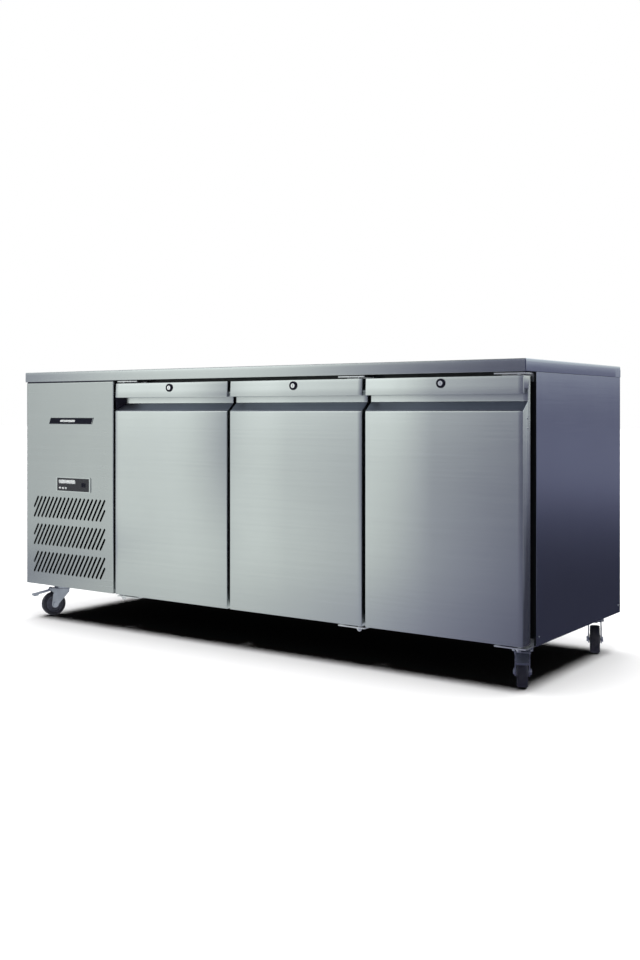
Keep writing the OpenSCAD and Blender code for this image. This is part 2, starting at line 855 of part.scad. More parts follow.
// Sheet between the evaporator and the first bay, with the fan's mouth and low return slots
module evaporator_cover() {
    y = evaporator_fan_y;
    z = evaporator_fan_z;
    hole_r = evaporator_fan_d / 2 + 5;
    ring_l = 16;
    arm_w = 12;
    fan_motor_r = 24;
    color(steel) {
        difference() {
            union() {
                box([cover_x, room_y0 + 6, room_z0 + 2], [cover_x + cover_t, room_y1 - 6, room_z1 - 2]);
                rod_x([cover_x - ring_l, y, z], hole_r + 1.2, ring_l);
            }
            rod_x([cover_x - ring_l - cut, y, z], hole_r, ring_l + cover_t + 2 * cut);
            for (k = [0 : 11])
                box([cover_x - cut, room_y0 + 60 + k * 30, room_z0 + 40],
                    [cover_x + cover_t + cut, room_y0 + 70 + k * 30, room_z0 + 110]);
        }
        difference() {
            union() {
                for (dz = [-34, 34])
                    box([cover_x - 2, y - hole_r, z + dz - arm_w / 2],
                        [cover_x, y + hole_r, z + dz + arm_w / 2]);
                rod_x([cover_x - 2, y, z], 42, 2);
                rod_x([cover_x - 2, y, z], fan_motor_r, 10);
            }
            rod_x([cover_x - 2 - cut, y, z], 3 + run_fit, 8);
        }
    }
}

module evaporator_fan() {
    color(black) translate([evaporator_fan_x, evaporator_fan_y, evaporator_fan_z])
        rotate([0, 0, -90]) {
            fan(evaporator_fan_d, 16, 5, 36, 30);
            rod_y([0, 0, 0], 3, cover_x - evaporator_fan_x + 4);
        }
}

module drain_tray() {
    t = 1.2;
    z0 = coil_z0 - 26;
    z1 = coil_z0 - 6;
    color(steel) difference() {
        box([room_x0 + 1, coil_y0 - 14, z0], [cover_x - 4, coil_y1 + 14, z1]);
        box([room_x0 + 1 + t, coil_y0 - 14 + t, z0 + t], [cover_x - 4 - t, coil_y1 + 14 - t, z1 + cut]);
    }
}

// Suction, discharge and liquid lines between the unit and the evaporator, and the drier
module refrigerant_pipes() {
    far_x = room_x0 + 24;
    shell_top = compressor_z + compressor_h;
    coil_top = condenser_z + condenser_h;
    coil_y = condenser_y + condenser_d / 2;
    drier_z = coil_top + 20;
    discharge_x = compressor_x - 28;
    color(copper) {
        pipe([[compressor_x, compressor_y, shell_top], [compressor_x, compressor_y, pipe_z + pipe_pitch],
              [compressor_x, pipe_y, pipe_z + pipe_pitch], [far_x, pipe_y, pipe_z + pipe_pitch]], suction_r);
        pipe([[discharge_x, compressor_y, shell_top], [discharge_x, compressor_y, coil_top + 40],
              [discharge_x, coil_y, coil_top + 40], [discharge_x, coil_y, coil_top]], liquid_r);
        pipe([[far_x, pipe_y, pipe_z], [drier_x, pipe_y, pipe_z],
              [drier_x, drier_y, pipe_z], [drier_x, drier_y, drier_z]], liquid_r);
        translate([drier_x, drier_y, drier_z]) cylinder(r = drier_r, h = drier_l);
        pipe([[drier_x, drier_y, drier_z], [drier_x, drier_y, coil_top + 8],
              [drier_x, coil_y, coil_top + 8], [drier_x, coil_y, coil_top]], liquid_r);
    }
}

// Box for the mains wiring on the back panel, with the inlet gland for the mains cord
module terminal_box() {
    w = 150;
    h = 110;
    d = 56;
    t = 2;
    y0 = back_y - sheet_t - d;
    y1 = back_y - sheet_t;
    color(black) difference() {
        union() {
            difference() {
                front_box(machine_mid, gland_z, w, h, y0, y1);
                front_box(machine_mid, gland_z, w - 2 * t, h - 2 * t, y0 + t, y1 - t);
            }
            rod_y([machine_mid, y1 - 14, gland_z], gland_r, 14 + sheet_t + 1.8);
        }
        rod_y([machine_mid, y1 - 14 - cut, gland_z], cord_r, 30);
    }
}

// ---------------------------------------------------------------- fasteners

// Castor bolts, hinge screws and the machine panel's screws
module fasteners() {
    head_r = 6.5;
    color(zinc) {
        for (p = castor_places, sx = [-1, 1], sy = [-1, 1])
            translate([p[0] + sx * bolt_dx, p[1] + sy * bolt_dy, 0]) {
                translate([0, 0, base_z - plate_t - bolt_head_h])
                    cylinder(r = head_r, h = bolt_head_h, $fn = 6);
                translate([0, 0, base_z - plate_t - 1]) cylinder(d = bolt_d, h = plate_t + 1 + bolt_reach);
            }
        for (i = [0 : door_count - 1], k = [0 : 1]) {
            edge = door_mid(i) + hinge_side(i) * door_w / 2;
            x = edge - hinge_side(i) * (20 + k * 44);
            z_low = base_z - hinge_t + 1 + 12;
            z_high = door_z1 + (door_top_gap + hinge_t) / 2 + 0.8 - 14;
            for (z = [z_low, z_high])
                rod_y([x, front_y - 3 - 2.2, z], 4, 2.2);
        }
        for (z = [door_z0 + 60, top_z - 60], x = [panel_x0 + 7.5, panel_x1 - 7.5])
            rod_y([x, front_y - 0.5 - panel_t - 2, z], 3.5, 2);
    }
}

// ---------------------------------------------------------------- doors

// Cross-section of a door from front to back (u) and bottom to top (v), inset by t from its outside
function door_profile(t, back) =
    let (
        h = door_z1 - door_z0,
        strip_v = h - strip_h,
        slope_v = strip_v - mouth_h,
        rise = slope_h / recess_d,
        drop = t * sqrt(1 + rise * rise)
    ) [
        [t, t],
        [t, slope_v + rise * t - drop],
        [recess_d + t, slope_v + rise * (recess_d + t) - drop],
        [recess_d + t, strip_v + lip_h + t],
        [lip_t - t, strip_v + lip_h + t],
        [lip_t - t, strip_v + t],
        [t, strip_v + t],
        [t, h - t],
        [back, h - t],
        [back, t]
    ];

// A door's body, inset by t from its outside, as far back as the depth given
module door_block(i, t, back) {
    translate([door_x(i) + t, door_y0, door_z0])
        rotate([90, 0, 90])
            linear_extrude(door_w - 2 * t)
                polygon(door_profile(t, back));
}

module lock_axis(i) {
    translate([door_mid(i), door_y0, lock_z]) children();
}

// Folded skin with the grip, the hinge bushes, the lock's hole and the cam's slot
module door_skin(i) {
    bore_d = pin_d + 2 * run_fit;
    color(steel) difference() {
        union() {
            difference() {
                door_block(i, 0, door_t);
                door_block(i, skin_t, door_t + cut);
            }
            for (z = [door_z0, door_z1 - pin_l - bush_floor])
                translate([pin_x(i), pin_y, z]) cylinder(d = bush_d, h = pin_l + bush_floor);
        }
        translate([pin_x(i), pin_y, door_z0 - cut]) cylinder(d = bore_d, h = pin_l + 1 + cut);
        translate([pin_x(i), pin_y, door_z1 - pin_l - 1]) cylinder(d = bore_d, h = pin_l + 1 + cut);
        lock_axis(i) rod_y([0, -cut, 0], lock_body_d / 2, 4);
        lock_axis(i) box([-cam_reach, cam_back - 1, 8], [cam_w, cam_back + cam_t + 1, lock_drop + cut]);
    }
}

// Foam that fills the door around the bushes and the lock
module door_foam(i) {
    color(foam_colour) difference() {
        door_block(i, skin_t + seam, door_t - sheet_t);
        for (z = [door_z0 - cut, door_z1 - pin_l - bush_floor - slip])
            translate([pin_x(i), pin_y, z])
                cylinder(d = bush_d + 2 * slip, h = pin_l + bush_floor + cut + slip);
        lock_axis(i) rod_y([0, -cut, 0], lock_body_d / 2 + slip, barrel_l + cut + 1);
        lock_axis(i) box([-cam_reach - 3, cam_back - 1, -cam_w],
                         [cam_w, cam_back + cam_t + 1, lock_drop + cut]);
    }
}

// Inner sheet of the door with the raised pan inside the gasket
module door_liner(i) {
    x0 = door_x(i);
    pan = gasket_inset + gasket_w + 2;
    pan_d = gasket_d - 6;
    edge = skin_t + seam;
    color(steel) difference() {
        union() {
            box([x0 + edge, door_y1 - sheet_t, door_z0 + edge],
                [x0 + door_w - edge, door_y1, door_z1 - edge]);
            box([x0 + pan, door_y1 - sheet_t, door_z0 + pan],
                [x0 + door_w - pan, door_y1 + pan_d, door_z1 - pan]);
        }
        box([x0 + pan + sheet_t, door_y1 - sheet_t - cut, door_z0 + pan + sheet_t],
            [x0 + door_w - pan - sheet_t, door_y1 + pan_d - sheet_t, door_z1 - pan - sheet_t]);
    }
}

module door_gasket(i) {
    x0 = door_x(i);
    color(black) difference() {
        box([x0 + gasket_inset, door_y1, door_z0 + gasket_inset],
            [x0 + door_w - gasket_inset, door_y1 + gasket_d, door_z1 - gasket_inset]);
        box([x0 + gasket_inset + gasket_w, door_y1 - cut, door_z0 + gasket_inset + gasket_w],
            [x0 + door_w - gasket_inset - gasket_w, door_y1 + gasket_d + cut,
             door_z1 - gasket_inset - gasket_w]);
    }
}

// Ring on the strip's face and the sleeve behind it
module door_lock(i) {
    ring_r = barrel_d / 2 + escutcheon_w;
    color(black) lock_axis(i) difference() {
        union() {
            rod_y([0, -2.4, 0], ring_r, 2.4);
            rod_y([0, -1, 0], lock_body_d / 2 - run_fit, barrel_l - 1.5);
        }
        rod_y([0, -2.4 - cut, 0], barrel_d / 2 + run_fit, barrel_l + 2 * cut);
    }
}

// Key barrel with its slot, and the cam at its back, which lies flat while the door is unlocked
module door_barrel(i) {
    color(steel) lock_axis(i) {
        difference() {
            rod_y([0, -2, 0], barrel_d / 2, barrel_l + 1.2);
            box([-0.9, -2 - cut, -4], [0.9, 2, 4]);
            rod_y([0, -2 - cut, 0], 1.8, 4);
        }
        box([-cam_reach, cam_back, -cam_w / 2], [cam_w / 2, cam_back + cam_t, cam_w / 2]);
    }
}

// ---------------------------------------------------------------- castors

// Plates under the base, each with the swivel's race, kingpin and nut
module castor_plates() {
    color(zinc) difference() {
        for (p = castor_places) {
            box([p[0] - 46, p[1] - 38, base_z - plate_t], [p[0] + 46, p[1] + 38, base_z]);
            translate([p[0], p[1], race_z]) cylinder(r = 26, h = base_z - plate_t - race_z);
            translate([p[0], p[1], crown_z - 5]) cylinder(d = kingpin_d, h = race_z - crown_z + 6);
            translate([p[0], p[1], crown_z - 5]) cylinder(d = kingpin_d + 7, h = 4.6);
        }
        castor_bolt_holes(base_z - plate_t - cut, base_z + cut);
    }
}

// Crown, two legs and the axle; ears for a brake pedal's pin if it has one
module castor_fork(braked) {
    span = leg_x + leg_t;
    color(zinc) {
        difference() {
            union() {
                translate([0, 0, crown_z]) cylinder(r = 27, h = crown_t);
                box([-span, -24, crown_z], [span, 20, crown_z + crown_t]);
            }
            translate([0, 0, crown_z - cut]) cylinder(d = kingpin_d + 2 * run_fit, h = crown_t + 2 * cut);
        }
        for (side = [-1, 1]) {
            x = side > 0 ? leg_x : -leg_x - leg_t;
            translate([x, 0, 0]) rotate([90, 0, 90]) linear_extrude(leg_t) fork_leg(braked);
            rod_x([side > 0 ? span : -span - 4, -trail, axle_z], 7.5, 4);
        }
        rod_x([-span, -trail, axle_z], axle_d / 2, 2 * span);
        if (braked)
            rod_x([-span - 1.5, -pedal_u, pedal_z], pedal_pin_d / 2, 2 * span + 3);
    }
}

module fork_leg(braked) {
    polygon([[20, crown_z + crown_t], [20, crown_z - 8], [-trail + 12, axle_z],
             [-trail - 12, axle_z], [-trail - 8, crown_z - 12],
             [-24, crown_z - 3], [-24, crown_z + crown_t]]);
    translate([-trail, axle_z]) circle(r = 12);
    if (braked)
        translate([-pedal_u, pedal_z]) circle(r = 7);
    if (braked)
        polygon([[-24, crown_z + crown_t], [-pedal_u, pedal_z + 6], [-pedal_u - 4, pedal_z - 5],
                 [-trail, crown_z - 14], [-20, crown_z - 10]]);
}

// Tyre with rounded shoulders on a hub that stands a little proud
module castor_wheel() {
    r = wheel_d / 2;
    w = wheel_w / 2;
    hub_r = 13;
    edge = 5;
    color(black) translate([0, -trail, axle_z]) rotate([0, 90, 0]) difference() {
        rotate_extrude($fn = 96) {
            difference() {
                union() {
                    translate([0, -w]) square([r - edge, 2 * w]);
                    translate([0, -w + edge]) square([r, 2 * w - 2 * edge]);
                    for (s = [-1, 1])
                        translate([r - edge, s * (w - edge)]) circle(r = edge);
                    translate([0, -w - 1.5]) square([hub_r, 2 * w + 3]);
                }
                translate([-r - 1, -r]) square([r + 1, 2 * r]);
                for (s = [-1, 1])
                    translate([hub_r + 3, s * (w - 1) - 2]) square([8, 4]);
            }
        }
        translate([0, 0, -w - 3]) cylinder(d = axle_d + 2 * run_fit, h = 2 * w + 6);
    }
}

// Bent pedal on a barrel, ending in a wide foot bar
module castor_pedal() {
    w = leg_x - 1.5;
    droop = 11;
    color(zinc) translate([0, -pedal_u, pedal_z]) difference() {
        union() {
            rod_x([-w, 0, 0], pedal_pin_d / 2 + 2.5, 2 * w);
            rotate([droop, 0, 0]) {
                box([-w, -pedal_reach, -1.2], [w, 0, 1.4]);
                box([-w - 3, -pedal_reach, -4], [w + 3, -pedal_reach + 14, 1.4]);
            }
        }
        rod_x([-w - cut, 0, 0], pedal_pin_d / 2 + run_fit, 2 * w + 2 * cut);
    }
}

// ---------------------------------------------------------------- nodes

worktop();
side_panel_left();
side_panel_right();
back_panel();
base_panel();
insulation();
inner_liner();
front_frame();
shelf_supports();
wire_shelves();
hinge_brackets();
machine_panel();
badge();
controller_housing();
display_window();
compressor();
condenser_coil();
condenser_fan_frame();
unit_tray();
evaporator_coil();
evaporator_cover();
drain_tray();
refrigerant_pipes();
terminal_box();
fasteners();
castor_plates();
condenser_fan();
evaporator_fan();
key(0);  // key_set
key(1);  // key_up
key(2);  // key_down
power_switch();
door_skin(0);  // door_1_skin
door_foam(0);  // door_1_foam
door_liner(0);  // door_1_liner
door_gasket(0);  // door_1_gasket
door_lock(0);  // door_1_lock
door_barrel(0);  // door_1_barrel
door_skin(1);  // door_2_skin
door_foam(1);  // door_2_foam
door_liner(1);  // door_2_liner
door_gasket(1);  // door_2_gasket
door_lock(1);  // door_2_lock
door_barrel(1);  // door_2_barrel
door_skin(2);  // door_3_skin
door_foam(2);  // door_3_foam
door_liner(2);  // door_3_liner
door_gasket(2);  // door_3_gasket
door_lock(2);  // door_3_lock
door_barrel(2);  // door_3_barrel
at_castor(front_left, turn_front_left) castor_fork(true);  // castor_front_left_fork
at_castor(front_left, turn_front_left) castor_wheel();  // castor_front_left_wheel
at_castor(front_left, turn_front_left) castor_pedal();  // castor_front_left_pedal
at_castor(front_right, turn_front_right) castor_fork(true);  // castor_front_right_fork
at_castor(front_right, turn_front_right) castor_wheel();  // castor_front_right_wheel
at_castor(front_right, turn_front_right) castor_pedal();  // castor_front_right_pedal
at_castor(rear_left, turn_rear_left) castor_fork(false);  // castor_rear_left_fork
at_castor(rear_left, turn_rear_left) castor_wheel();  // castor_rear_left_wheel
at_castor(rear_right, turn_rear_right) castor_fork(false);  // castor_rear_right_fork
at_castor(rear_right, turn_rear_right) castor_wheel();  // castor_rear_right_wheel
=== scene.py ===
"""Three-door undercounter refrigerator: folded steel cabinet, doors, locks and castors, with its studio.

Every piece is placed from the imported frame. Distances are in metres.
"""

import json
import math

import bmesh
import bpy
import numpy as np
from bpy.props import FloatProperty, FloatVectorProperty, IntProperty, PointerProperty
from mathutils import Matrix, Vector


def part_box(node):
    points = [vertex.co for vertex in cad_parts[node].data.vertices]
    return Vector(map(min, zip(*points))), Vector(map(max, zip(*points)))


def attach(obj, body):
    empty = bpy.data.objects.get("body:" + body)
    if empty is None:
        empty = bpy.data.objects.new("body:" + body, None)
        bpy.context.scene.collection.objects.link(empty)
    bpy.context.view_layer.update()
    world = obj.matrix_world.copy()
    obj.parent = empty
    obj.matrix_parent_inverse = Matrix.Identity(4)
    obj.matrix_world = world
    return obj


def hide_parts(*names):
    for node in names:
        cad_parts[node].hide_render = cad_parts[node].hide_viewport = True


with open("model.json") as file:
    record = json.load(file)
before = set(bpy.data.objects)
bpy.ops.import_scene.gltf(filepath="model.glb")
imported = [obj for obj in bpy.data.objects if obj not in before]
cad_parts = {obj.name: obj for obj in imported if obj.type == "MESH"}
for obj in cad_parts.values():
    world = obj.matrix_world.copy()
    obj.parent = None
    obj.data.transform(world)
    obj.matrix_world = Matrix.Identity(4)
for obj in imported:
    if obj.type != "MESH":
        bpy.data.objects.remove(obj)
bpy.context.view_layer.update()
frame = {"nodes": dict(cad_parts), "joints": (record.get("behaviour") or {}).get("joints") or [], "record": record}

bl_info = {
    "name": "Undercounter refrigerator",
    "version": (1, 0, 0),
    "blender": (4, 5, 0),
    "location": "3D View > Sidebar > Refrigerator",
    "description": "Makes the sheet metal, doors, locks, castors and studio of a three-door refrigerator",
    "category": "Object",
}

JOINTS = {joint["name"]: joint for joint in frame["joints"]}
SLOTS = {part["node"]: part["material_slot"] for part in frame["record"]["subparts"]}
DOORS = (1, 2, 3)
CASTORS = ("front_left", "front_right", "rear_left", "rear_right")
BRAKED = ("front_left", "front_right")
MM = 0.001
POLE = 1e-7  # radius of a turned shape at its axis, where its points are merged
LOCK_SIDES, WHEEL_SIDES, SCREW_SIDES, NUT_SIDES = 48, 96, 24, 32  # flats round the turned shapes


# ---------------------------------------------------------------- sizes and colours

def length(name, value, text):
    """A size in metres that a user may change."""
    return FloatProperty(name=name, description=text, default=value, min=0.0, unit="LENGTH",
                         subtype="DISTANCE")


def colour(name, value, text):
    """A colour that a user may change."""
    return FloatVectorProperty(name=name, description=text, default=value, min=0.0, max=1.0, size=3,
                               subtype="COLOR")


class SheetSizes(bpy.types.PropertyGroup):
    """Bends and edges of the folded sheet."""

    skin: length("Skin", 1.2 * MM, "Thickness of the door skins and the machine panel")
    bend: length("Bend", 2.2 * MM, "Outside radius of an ordinary bend")
    edge: length("Edge", 1.6 * MM, "Radius of a door's side edges")
    rim_bend: length("Rim bend", 3.0 * MM, "Radius of the worktop's upper edge")
    rim_lip: length("Rim lip", 16.0 * MM, "Width of the lip under the worktop")
    worktop: length("Worktop", 1.5 * MM, "Thickness of the worktop's sheet")


class GripSizes(bpy.types.PropertyGroup):
    """The finger grip along the top of each door."""

    strip: length("Strip", 47.0 * MM, "Height of the strip that carries the lock")
    mouth: length("Mouth", 43.0 * MM, "Height of the open mouth under the strip")
    recess: length("Recess", 30.0 * MM, "Depth of the finger recess")
    pocket: length("Pocket", 14.0 * MM, "Depth of the pocket behind the lip")
    lip: length("Lip", 10.0 * MM, "Thickness of the hanging lip")
    slope: length("Slope", 25.0 * MM, "Height of the slope below the recess")
    lean: length("Lean", 2.6 * MM, "Distance that the strip's top edge lies behind its lower edge")
    shoulder: length("Shoulder", 7.0 * MM, "Radius where the slope meets the door's face")


class SealSizes(bpy.types.PropertyGroup):
    """The gasket and the raised pan inside it."""

    inset: length("Inset", 22.0 * MM, "Distance from a door's edge to its gasket")
    width: length("Width", 16.0 * MM, "Width of the gasket")
    pan_gap: length("Pan gap", 2.0 * MM, "Gap between the gasket and the pan")
    pan_depth: length("Pan depth", 11.7 * MM, "Height of the pan above the liner's rim")


class LockSizes(bpy.types.PropertyGroup):
    """The cylinder locks."""

    barrel: length("Barrel", 7.0 * MM, "Radius of the key barrel")
    ring: length("Ring", 12.5 * MM, "Outer radius of the ring around the barrel")
    sleeve: length("Sleeve", 8.3 * MM, "Outer radius of the sleeve behind the ring")
    depth: length("Depth", 23.2 * MM, "Length of the barrel behind the door's face")
    cam_reach: length("Cam reach", 23.5 * MM, "Reach of the cam from the barrel's axis")
    cam_width: length("Cam width", 9.0 * MM, "Width of the cam")
    cam_start: length("Cam start", 23.0 * MM, "Depth of the cam behind the door's face")
    cam_thickness: length("Cam thickness", 3.0 * MM, "Thickness of the cam")


class LouvreSizes(bpy.types.PropertyGroup):
    """The leaning slots of the machine panel."""

    count: IntProperty(name="Count", description="Full-length slots in a row", default=17, min=3, max=24)
    rows: IntProperty(name="Rows", description="Rows of slots", default=3, min=1, max=3)
    pitch: length("Pitch", 18.75 * MM, "Distance between neighbouring slots")
    width: length("Width", 8.0 * MM, "Width of a slot")
    reach: length("Reach", 75.0 * MM, "Length of a slot between the centres of its round ends")
    row_pitch: length("Row pitch", 94.0 * MM, "Distance between rows")
    row_rise: length("Row rise", 77.5 * MM, "Height of the lowest row's centre above the panel's lower edge")
    lean: FloatProperty(name="Lean", description="Lean of the slots from the vertical",
                        default=math.radians(30), min=0.0, max=0.8, unit="ROTATION", subtype="ANGLE")


class WheelSizes(bpy.types.PropertyGroup):
    """The castor wheels."""

    radius: length("Radius", 40.0 * MM, "Radius of the tyre")
    half_width: length("Half width", 14.0 * MM, "Half of the tyre's width")
    rim: length("Rim", 29.0 * MM, "Inner radius of the tyre")
    hub: length("Hub", 13.0 * MM, "Radius of the hub")
    bore: length("Bore", 4.05 * MM, "Radius of the hub's bore")


class Finishes(bpy.types.PropertyGroup):
    """Colours of the finishes."""

    steel: colour("Steel", (0.66, 0.685, 0.68), "Brushed stainless steel")
    # Darker and bluer than the fronts' steel: painted shade on the ends.
    side_steel: colour("Side steel", (0.55, 0.585, 0.67), "Stainless steel of the ends")
    zinc: colour("Zinc", (0.52, 0.54, 0.60), "Zinc plate of the castors and hinges")
    galvanised: colour("Galvanised", (0.55, 0.57, 0.59), "Galvanised sheet")
    chrome: colour("Chrome", (0.97, 0.97, 0.98), "Key barrels")
    # Black plastic and rubber, with a blue cast painted in for the tint of the shade.
    black: colour("Black", (0.008, 0.008, 0.016), "Black plastic")
    rubber: colour("Rubber", (0.013, 0.013, 0.027), "Gaskets and tyres")
    foam: colour("Foam", (0.74, 0.60, 0.33), "Polyurethane foam")
    copper: colour("Copper", (0.72, 0.34, 0.20), "Copper pipes")
    # Pale also paints the highlight strip on the controller's window: painted highlight.
    pale: colour("Pale", (0.62, 0.66, 0.66), "Pale plastic of the keys and the light bars")


class StudioSetup(bpy.types.PropertyGroup):
    """The camera and the floor."""

    azimuth: FloatProperty(name="Azimuth", description="Camera's bearing round the object",
                           default=math.radians(35.5), unit="ROTATION", subtype="ANGLE")
    eye: FloatVectorProperty(name="Eye", description="Place of the camera", default=(2.096, -2.919, 0.709),
                             size=3, unit="LENGTH", subtype="TRANSLATION")
    lens: FloatProperty(name="Lens", description="Focal length in millimetres", default=41.97, min=10.0)
    shift: FloatVectorProperty(name="Shift", description="Camera shift", default=(0.0164, -0.0715), size=2)
    floor: colour("Floor", (0.86, 0.86, 0.865), "Pale floor")
    reach: length("Reach", 40.0, "Half of the floor's width")


# ---------------------------------------------------------------- shapes

def span(node):
    """Lowest and highest corner of a CAD node, as arrays."""
    low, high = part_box(node)
    return np.array(low), np.array(high)


def fillet(corners, radii, steps=4):
    """Open line through corners, with an arc at each inner corner: c + (a sin((1-t) w) + b sin(t w)) / sin w,
    where a and b go from the centre c to the two tangent points and w is the angle between them."""
    corners = np.asarray(corners, float)
    line = [corners[:1]]
    for before, corner, after, radius in zip(corners[:-2], corners[1:-1], corners[2:], radii):
        back, ahead = before - corner, after - corner
        room = 0.499 * min(np.linalg.norm(back), np.linalg.norm(ahead))
        back, ahead = back / np.linalg.norm(back), ahead / np.linalg.norm(ahead)
        half = 0.5 * math.acos(np.clip(back @ ahead, -1.0, 1.0))
        if radius <= 0.0 or half > 1.56:
            line.append(corner[None])
            continue
        radius = min(radius, room * math.tan(half))
        middle = back + ahead
        centre = corner + middle / np.linalg.norm(middle) * radius / math.sin(half)
        a = corner + back * radius / math.tan(half) - centre
        b = corner + ahead * radius / math.tan(half) - centre
        sweep = math.pi - 2.0 * half
        t = np.linspace(0.0, 1.0, steps + 1)[:, None]
        line.append(centre + (a * np.sin((1 - t) * sweep) + b * np.sin(t * sweep)) / math.sin(sweep))
    line.append(corners[-1:])
    return np.vstack(line)


def mitre(line):
    """Unit offsets of an open line, to its left: the sum of two sides' normals, over 1 plus their product."""
    run = np.diff(line, axis=0)
    run /= np.linalg.norm(run, axis=1)[:, None]
    normal = np.stack([-run[:, 1], run[:, 0]], axis=1)
    before, after = np.vstack([normal[:1], normal]), np.vstack([normal, normal[-1:]])
    total = before + after
    return total / (1.0 + np.sum(before * after, axis=1))[:, None]


def quarter_turn(steps):
    """Angles from 0 to a right angle."""
    return np.linspace(0.0, math.pi / 2, steps + 1)


def rounded_loop(low, high, radius, steps=5):
    """Closed loop round a rectangle: each corner is its centre plus r (cos a, sin a) over a quarter turn."""
    low, high = np.asarray(low, float), np.asarray(high, float)
    radius = max(radius, 1e-6)
    left, bottom = low + radius
    right, top = high - radius
    centres = np.array([[right, top], [left, top], [left, bottom], [right, bottom]])
    turn = quarter_turn(steps)[None, :] + (np.arange(4) * math.pi / 2)[:, None]
    arc = radius * np.stack([np.cos(turn), np.sin(turn)], axis=-1)
    return (centres[:, None, :] + arc).reshape(-1, 2)


def stadium(radius, straight, count):
    """Closed loop of a slot with round ends: r (cos a, sin a), moved up or down by half its straight part."""
    turn = (np.arange(count) + 0.5) * 2 * math.pi / count
    y = radius * np.sin(turn) + np.sign(np.sin(turn)) * straight / 2
    return np.stack([radius * np.cos(turn), y], axis=1)


def lay_flat(loops, heights):
    """Loops in X and Y at the given heights in Z."""
    loops = np.asarray(loops)
    z = np.broadcast_to(np.asarray(heights, float)[:, None, None], loops.shape[:2] + (1,))
    return np.concatenate([loops, z], axis=2)


def stand_up(loops, depths):
    """Loops in X and Z at the given depths in Y."""
    loops = np.asarray(loops)
    y = np.broadcast_to(np.asarray(depths, float)[:, None, None], loops.shape[:2] + (1,))
    return np.concatenate([loops[..., :1], y, loops[..., 1:]], axis=2)


def grid_faces(rows, columns, close_rows=False, close_columns=False):
    """Four-sided faces over a grid of points, numbered row by row."""
    index = np.arange(rows * columns).reshape(rows, columns)
    if close_rows:
        index = np.vstack([index, index[:1]])
    if close_columns:
        index = np.hstack([index, index[:, :1]])
    corners = [index[:-1, :-1], index[1:, :-1], index[1:, 1:], index[:-1, 1:]]
    return np.stack(corners, axis=-1).reshape(-1, 4)


def shell(loops, cap_first=False, cap_last=False, close_rows=False):
    """Surface through closed loops of equal length, with flat caps where asked."""
    loops = np.asarray(loops)
    rows, count = loops.shape[:2]
    faces = grid_faces(rows, count, close_rows=close_rows, close_columns=True).tolist()
    if cap_first:
        faces.append(list(range(count)))
    if cap_last:
        faces.append(list(range((rows - 1) * count, rows * count)))
    return loops.reshape(-1, 3), faces


def block(loops):
    """Surface through closed loops, capped at both ends."""
    return shell(loops, cap_first=True, cap_last=True)


def join(*parts):
    """Several (points, faces) as one."""
    points, faces, start = [], [], 0
    for part_points, part_faces in parts:
        points.append(np.asarray(part_points).reshape(-1, 3))
        faces += [[start + corner for corner in face] for face in part_faces]
        start += len(points[-1])
    return np.vstack(points), faces


def turned(profile, count, centre, axis, up=(0.0, 0.0, 1.0), closed=False):
    """Profile of (radius, distance along) carried round an axis n: c + d n + r (u cos a + v sin a)."""
    axis = np.asarray(axis, float) / np.linalg.norm(axis)
    u = np.asarray(up, float) - np.dot(up, axis) * axis
    u /= np.linalg.norm(u)
    v = np.cross(axis, u)
    turn = np.arange(count) * 2 * math.pi / count
    rim = np.cos(turn)[:, None] * u + np.sin(turn)[:, None] * v
    profile = np.asarray(profile, float)
    radii, along = profile[:, 0][:, None, None], profile[:, 1][:, None, None]
    return shell(np.asarray(centre) + along * axis + radii * rim[None], close_rows=closed)


def make_piece(name, shape, finish, body, replaces=(), thickness=0.0, bevel=0.0, sharp=32.0):
    """Puts points and faces into a mesh object, merges doubles, turns faces outwards and lets it ride a body.
    Thickness gives a sheet its wall, on the inside; sharp is the least angle of a crisp edge, in degrees."""
    points, faces = shape
    mesh = bpy.data.meshes.new(name)
    mesh.from_pydata(np.asarray(points, float).tolist(), [], faces)
    work = bmesh.new()
    work.from_mesh(mesh)
    bmesh.ops.remove_doubles(work, verts=work.verts, dist=2e-6)
    bmesh.ops.recalc_face_normals(work, faces=work.faces)
    work.to_mesh(mesh)
    work.free()
    mesh.shade_smooth()
    mesh.set_sharp_from_angle(angle=math.radians(sharp))
    sharpen_openings(mesh)
    mesh.materials.append(finish_named(finish))
    piece = bpy.data.objects.new(name, mesh)
    bpy.context.scene.collection.objects.link(piece)
    if thickness:
        wall = piece.modifiers.new("Wall", "SOLIDIFY")
        wall.thickness = thickness
        wall.offset = -1.0
        wall.use_even_offset = True
    if bevel:
        round_edges(piece, bevel)
    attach(piece, body)
    if replaces:
        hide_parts(*replaces)
    return piece


def sharpen_openings(mesh):
    """Marks the edges that belong to one face as sharp, so that a wall added there has crisp edges."""
    owner = np.empty(len(mesh.loops), np.int32)
    mesh.loops.foreach_get("edge_index", owner)
    sharp = np.empty(len(mesh.edges), bool)
    mesh.edges.foreach_get("use_edge_sharp", sharp)
    sharp |= np.bincount(owner, minlength=len(sharp)) == 1
    mesh.edges.foreach_set("use_edge_sharp", sharp)


def round_edges(piece, width, angle=40.0):
    """Rounds the edges of a piece that are sharper than an angle in degrees."""
    bevel = piece.modifiers.new("Edges", "BEVEL")
    bevel.width = width
    bevel.segments = 2
    bevel.limit_method = "ANGLE"
    bevel.angle_limit = math.radians(angle)
    bevel.harden_normals = False
    bevel.use_clamp_overlap = True


# ---------------------------------------------------------------- finishes

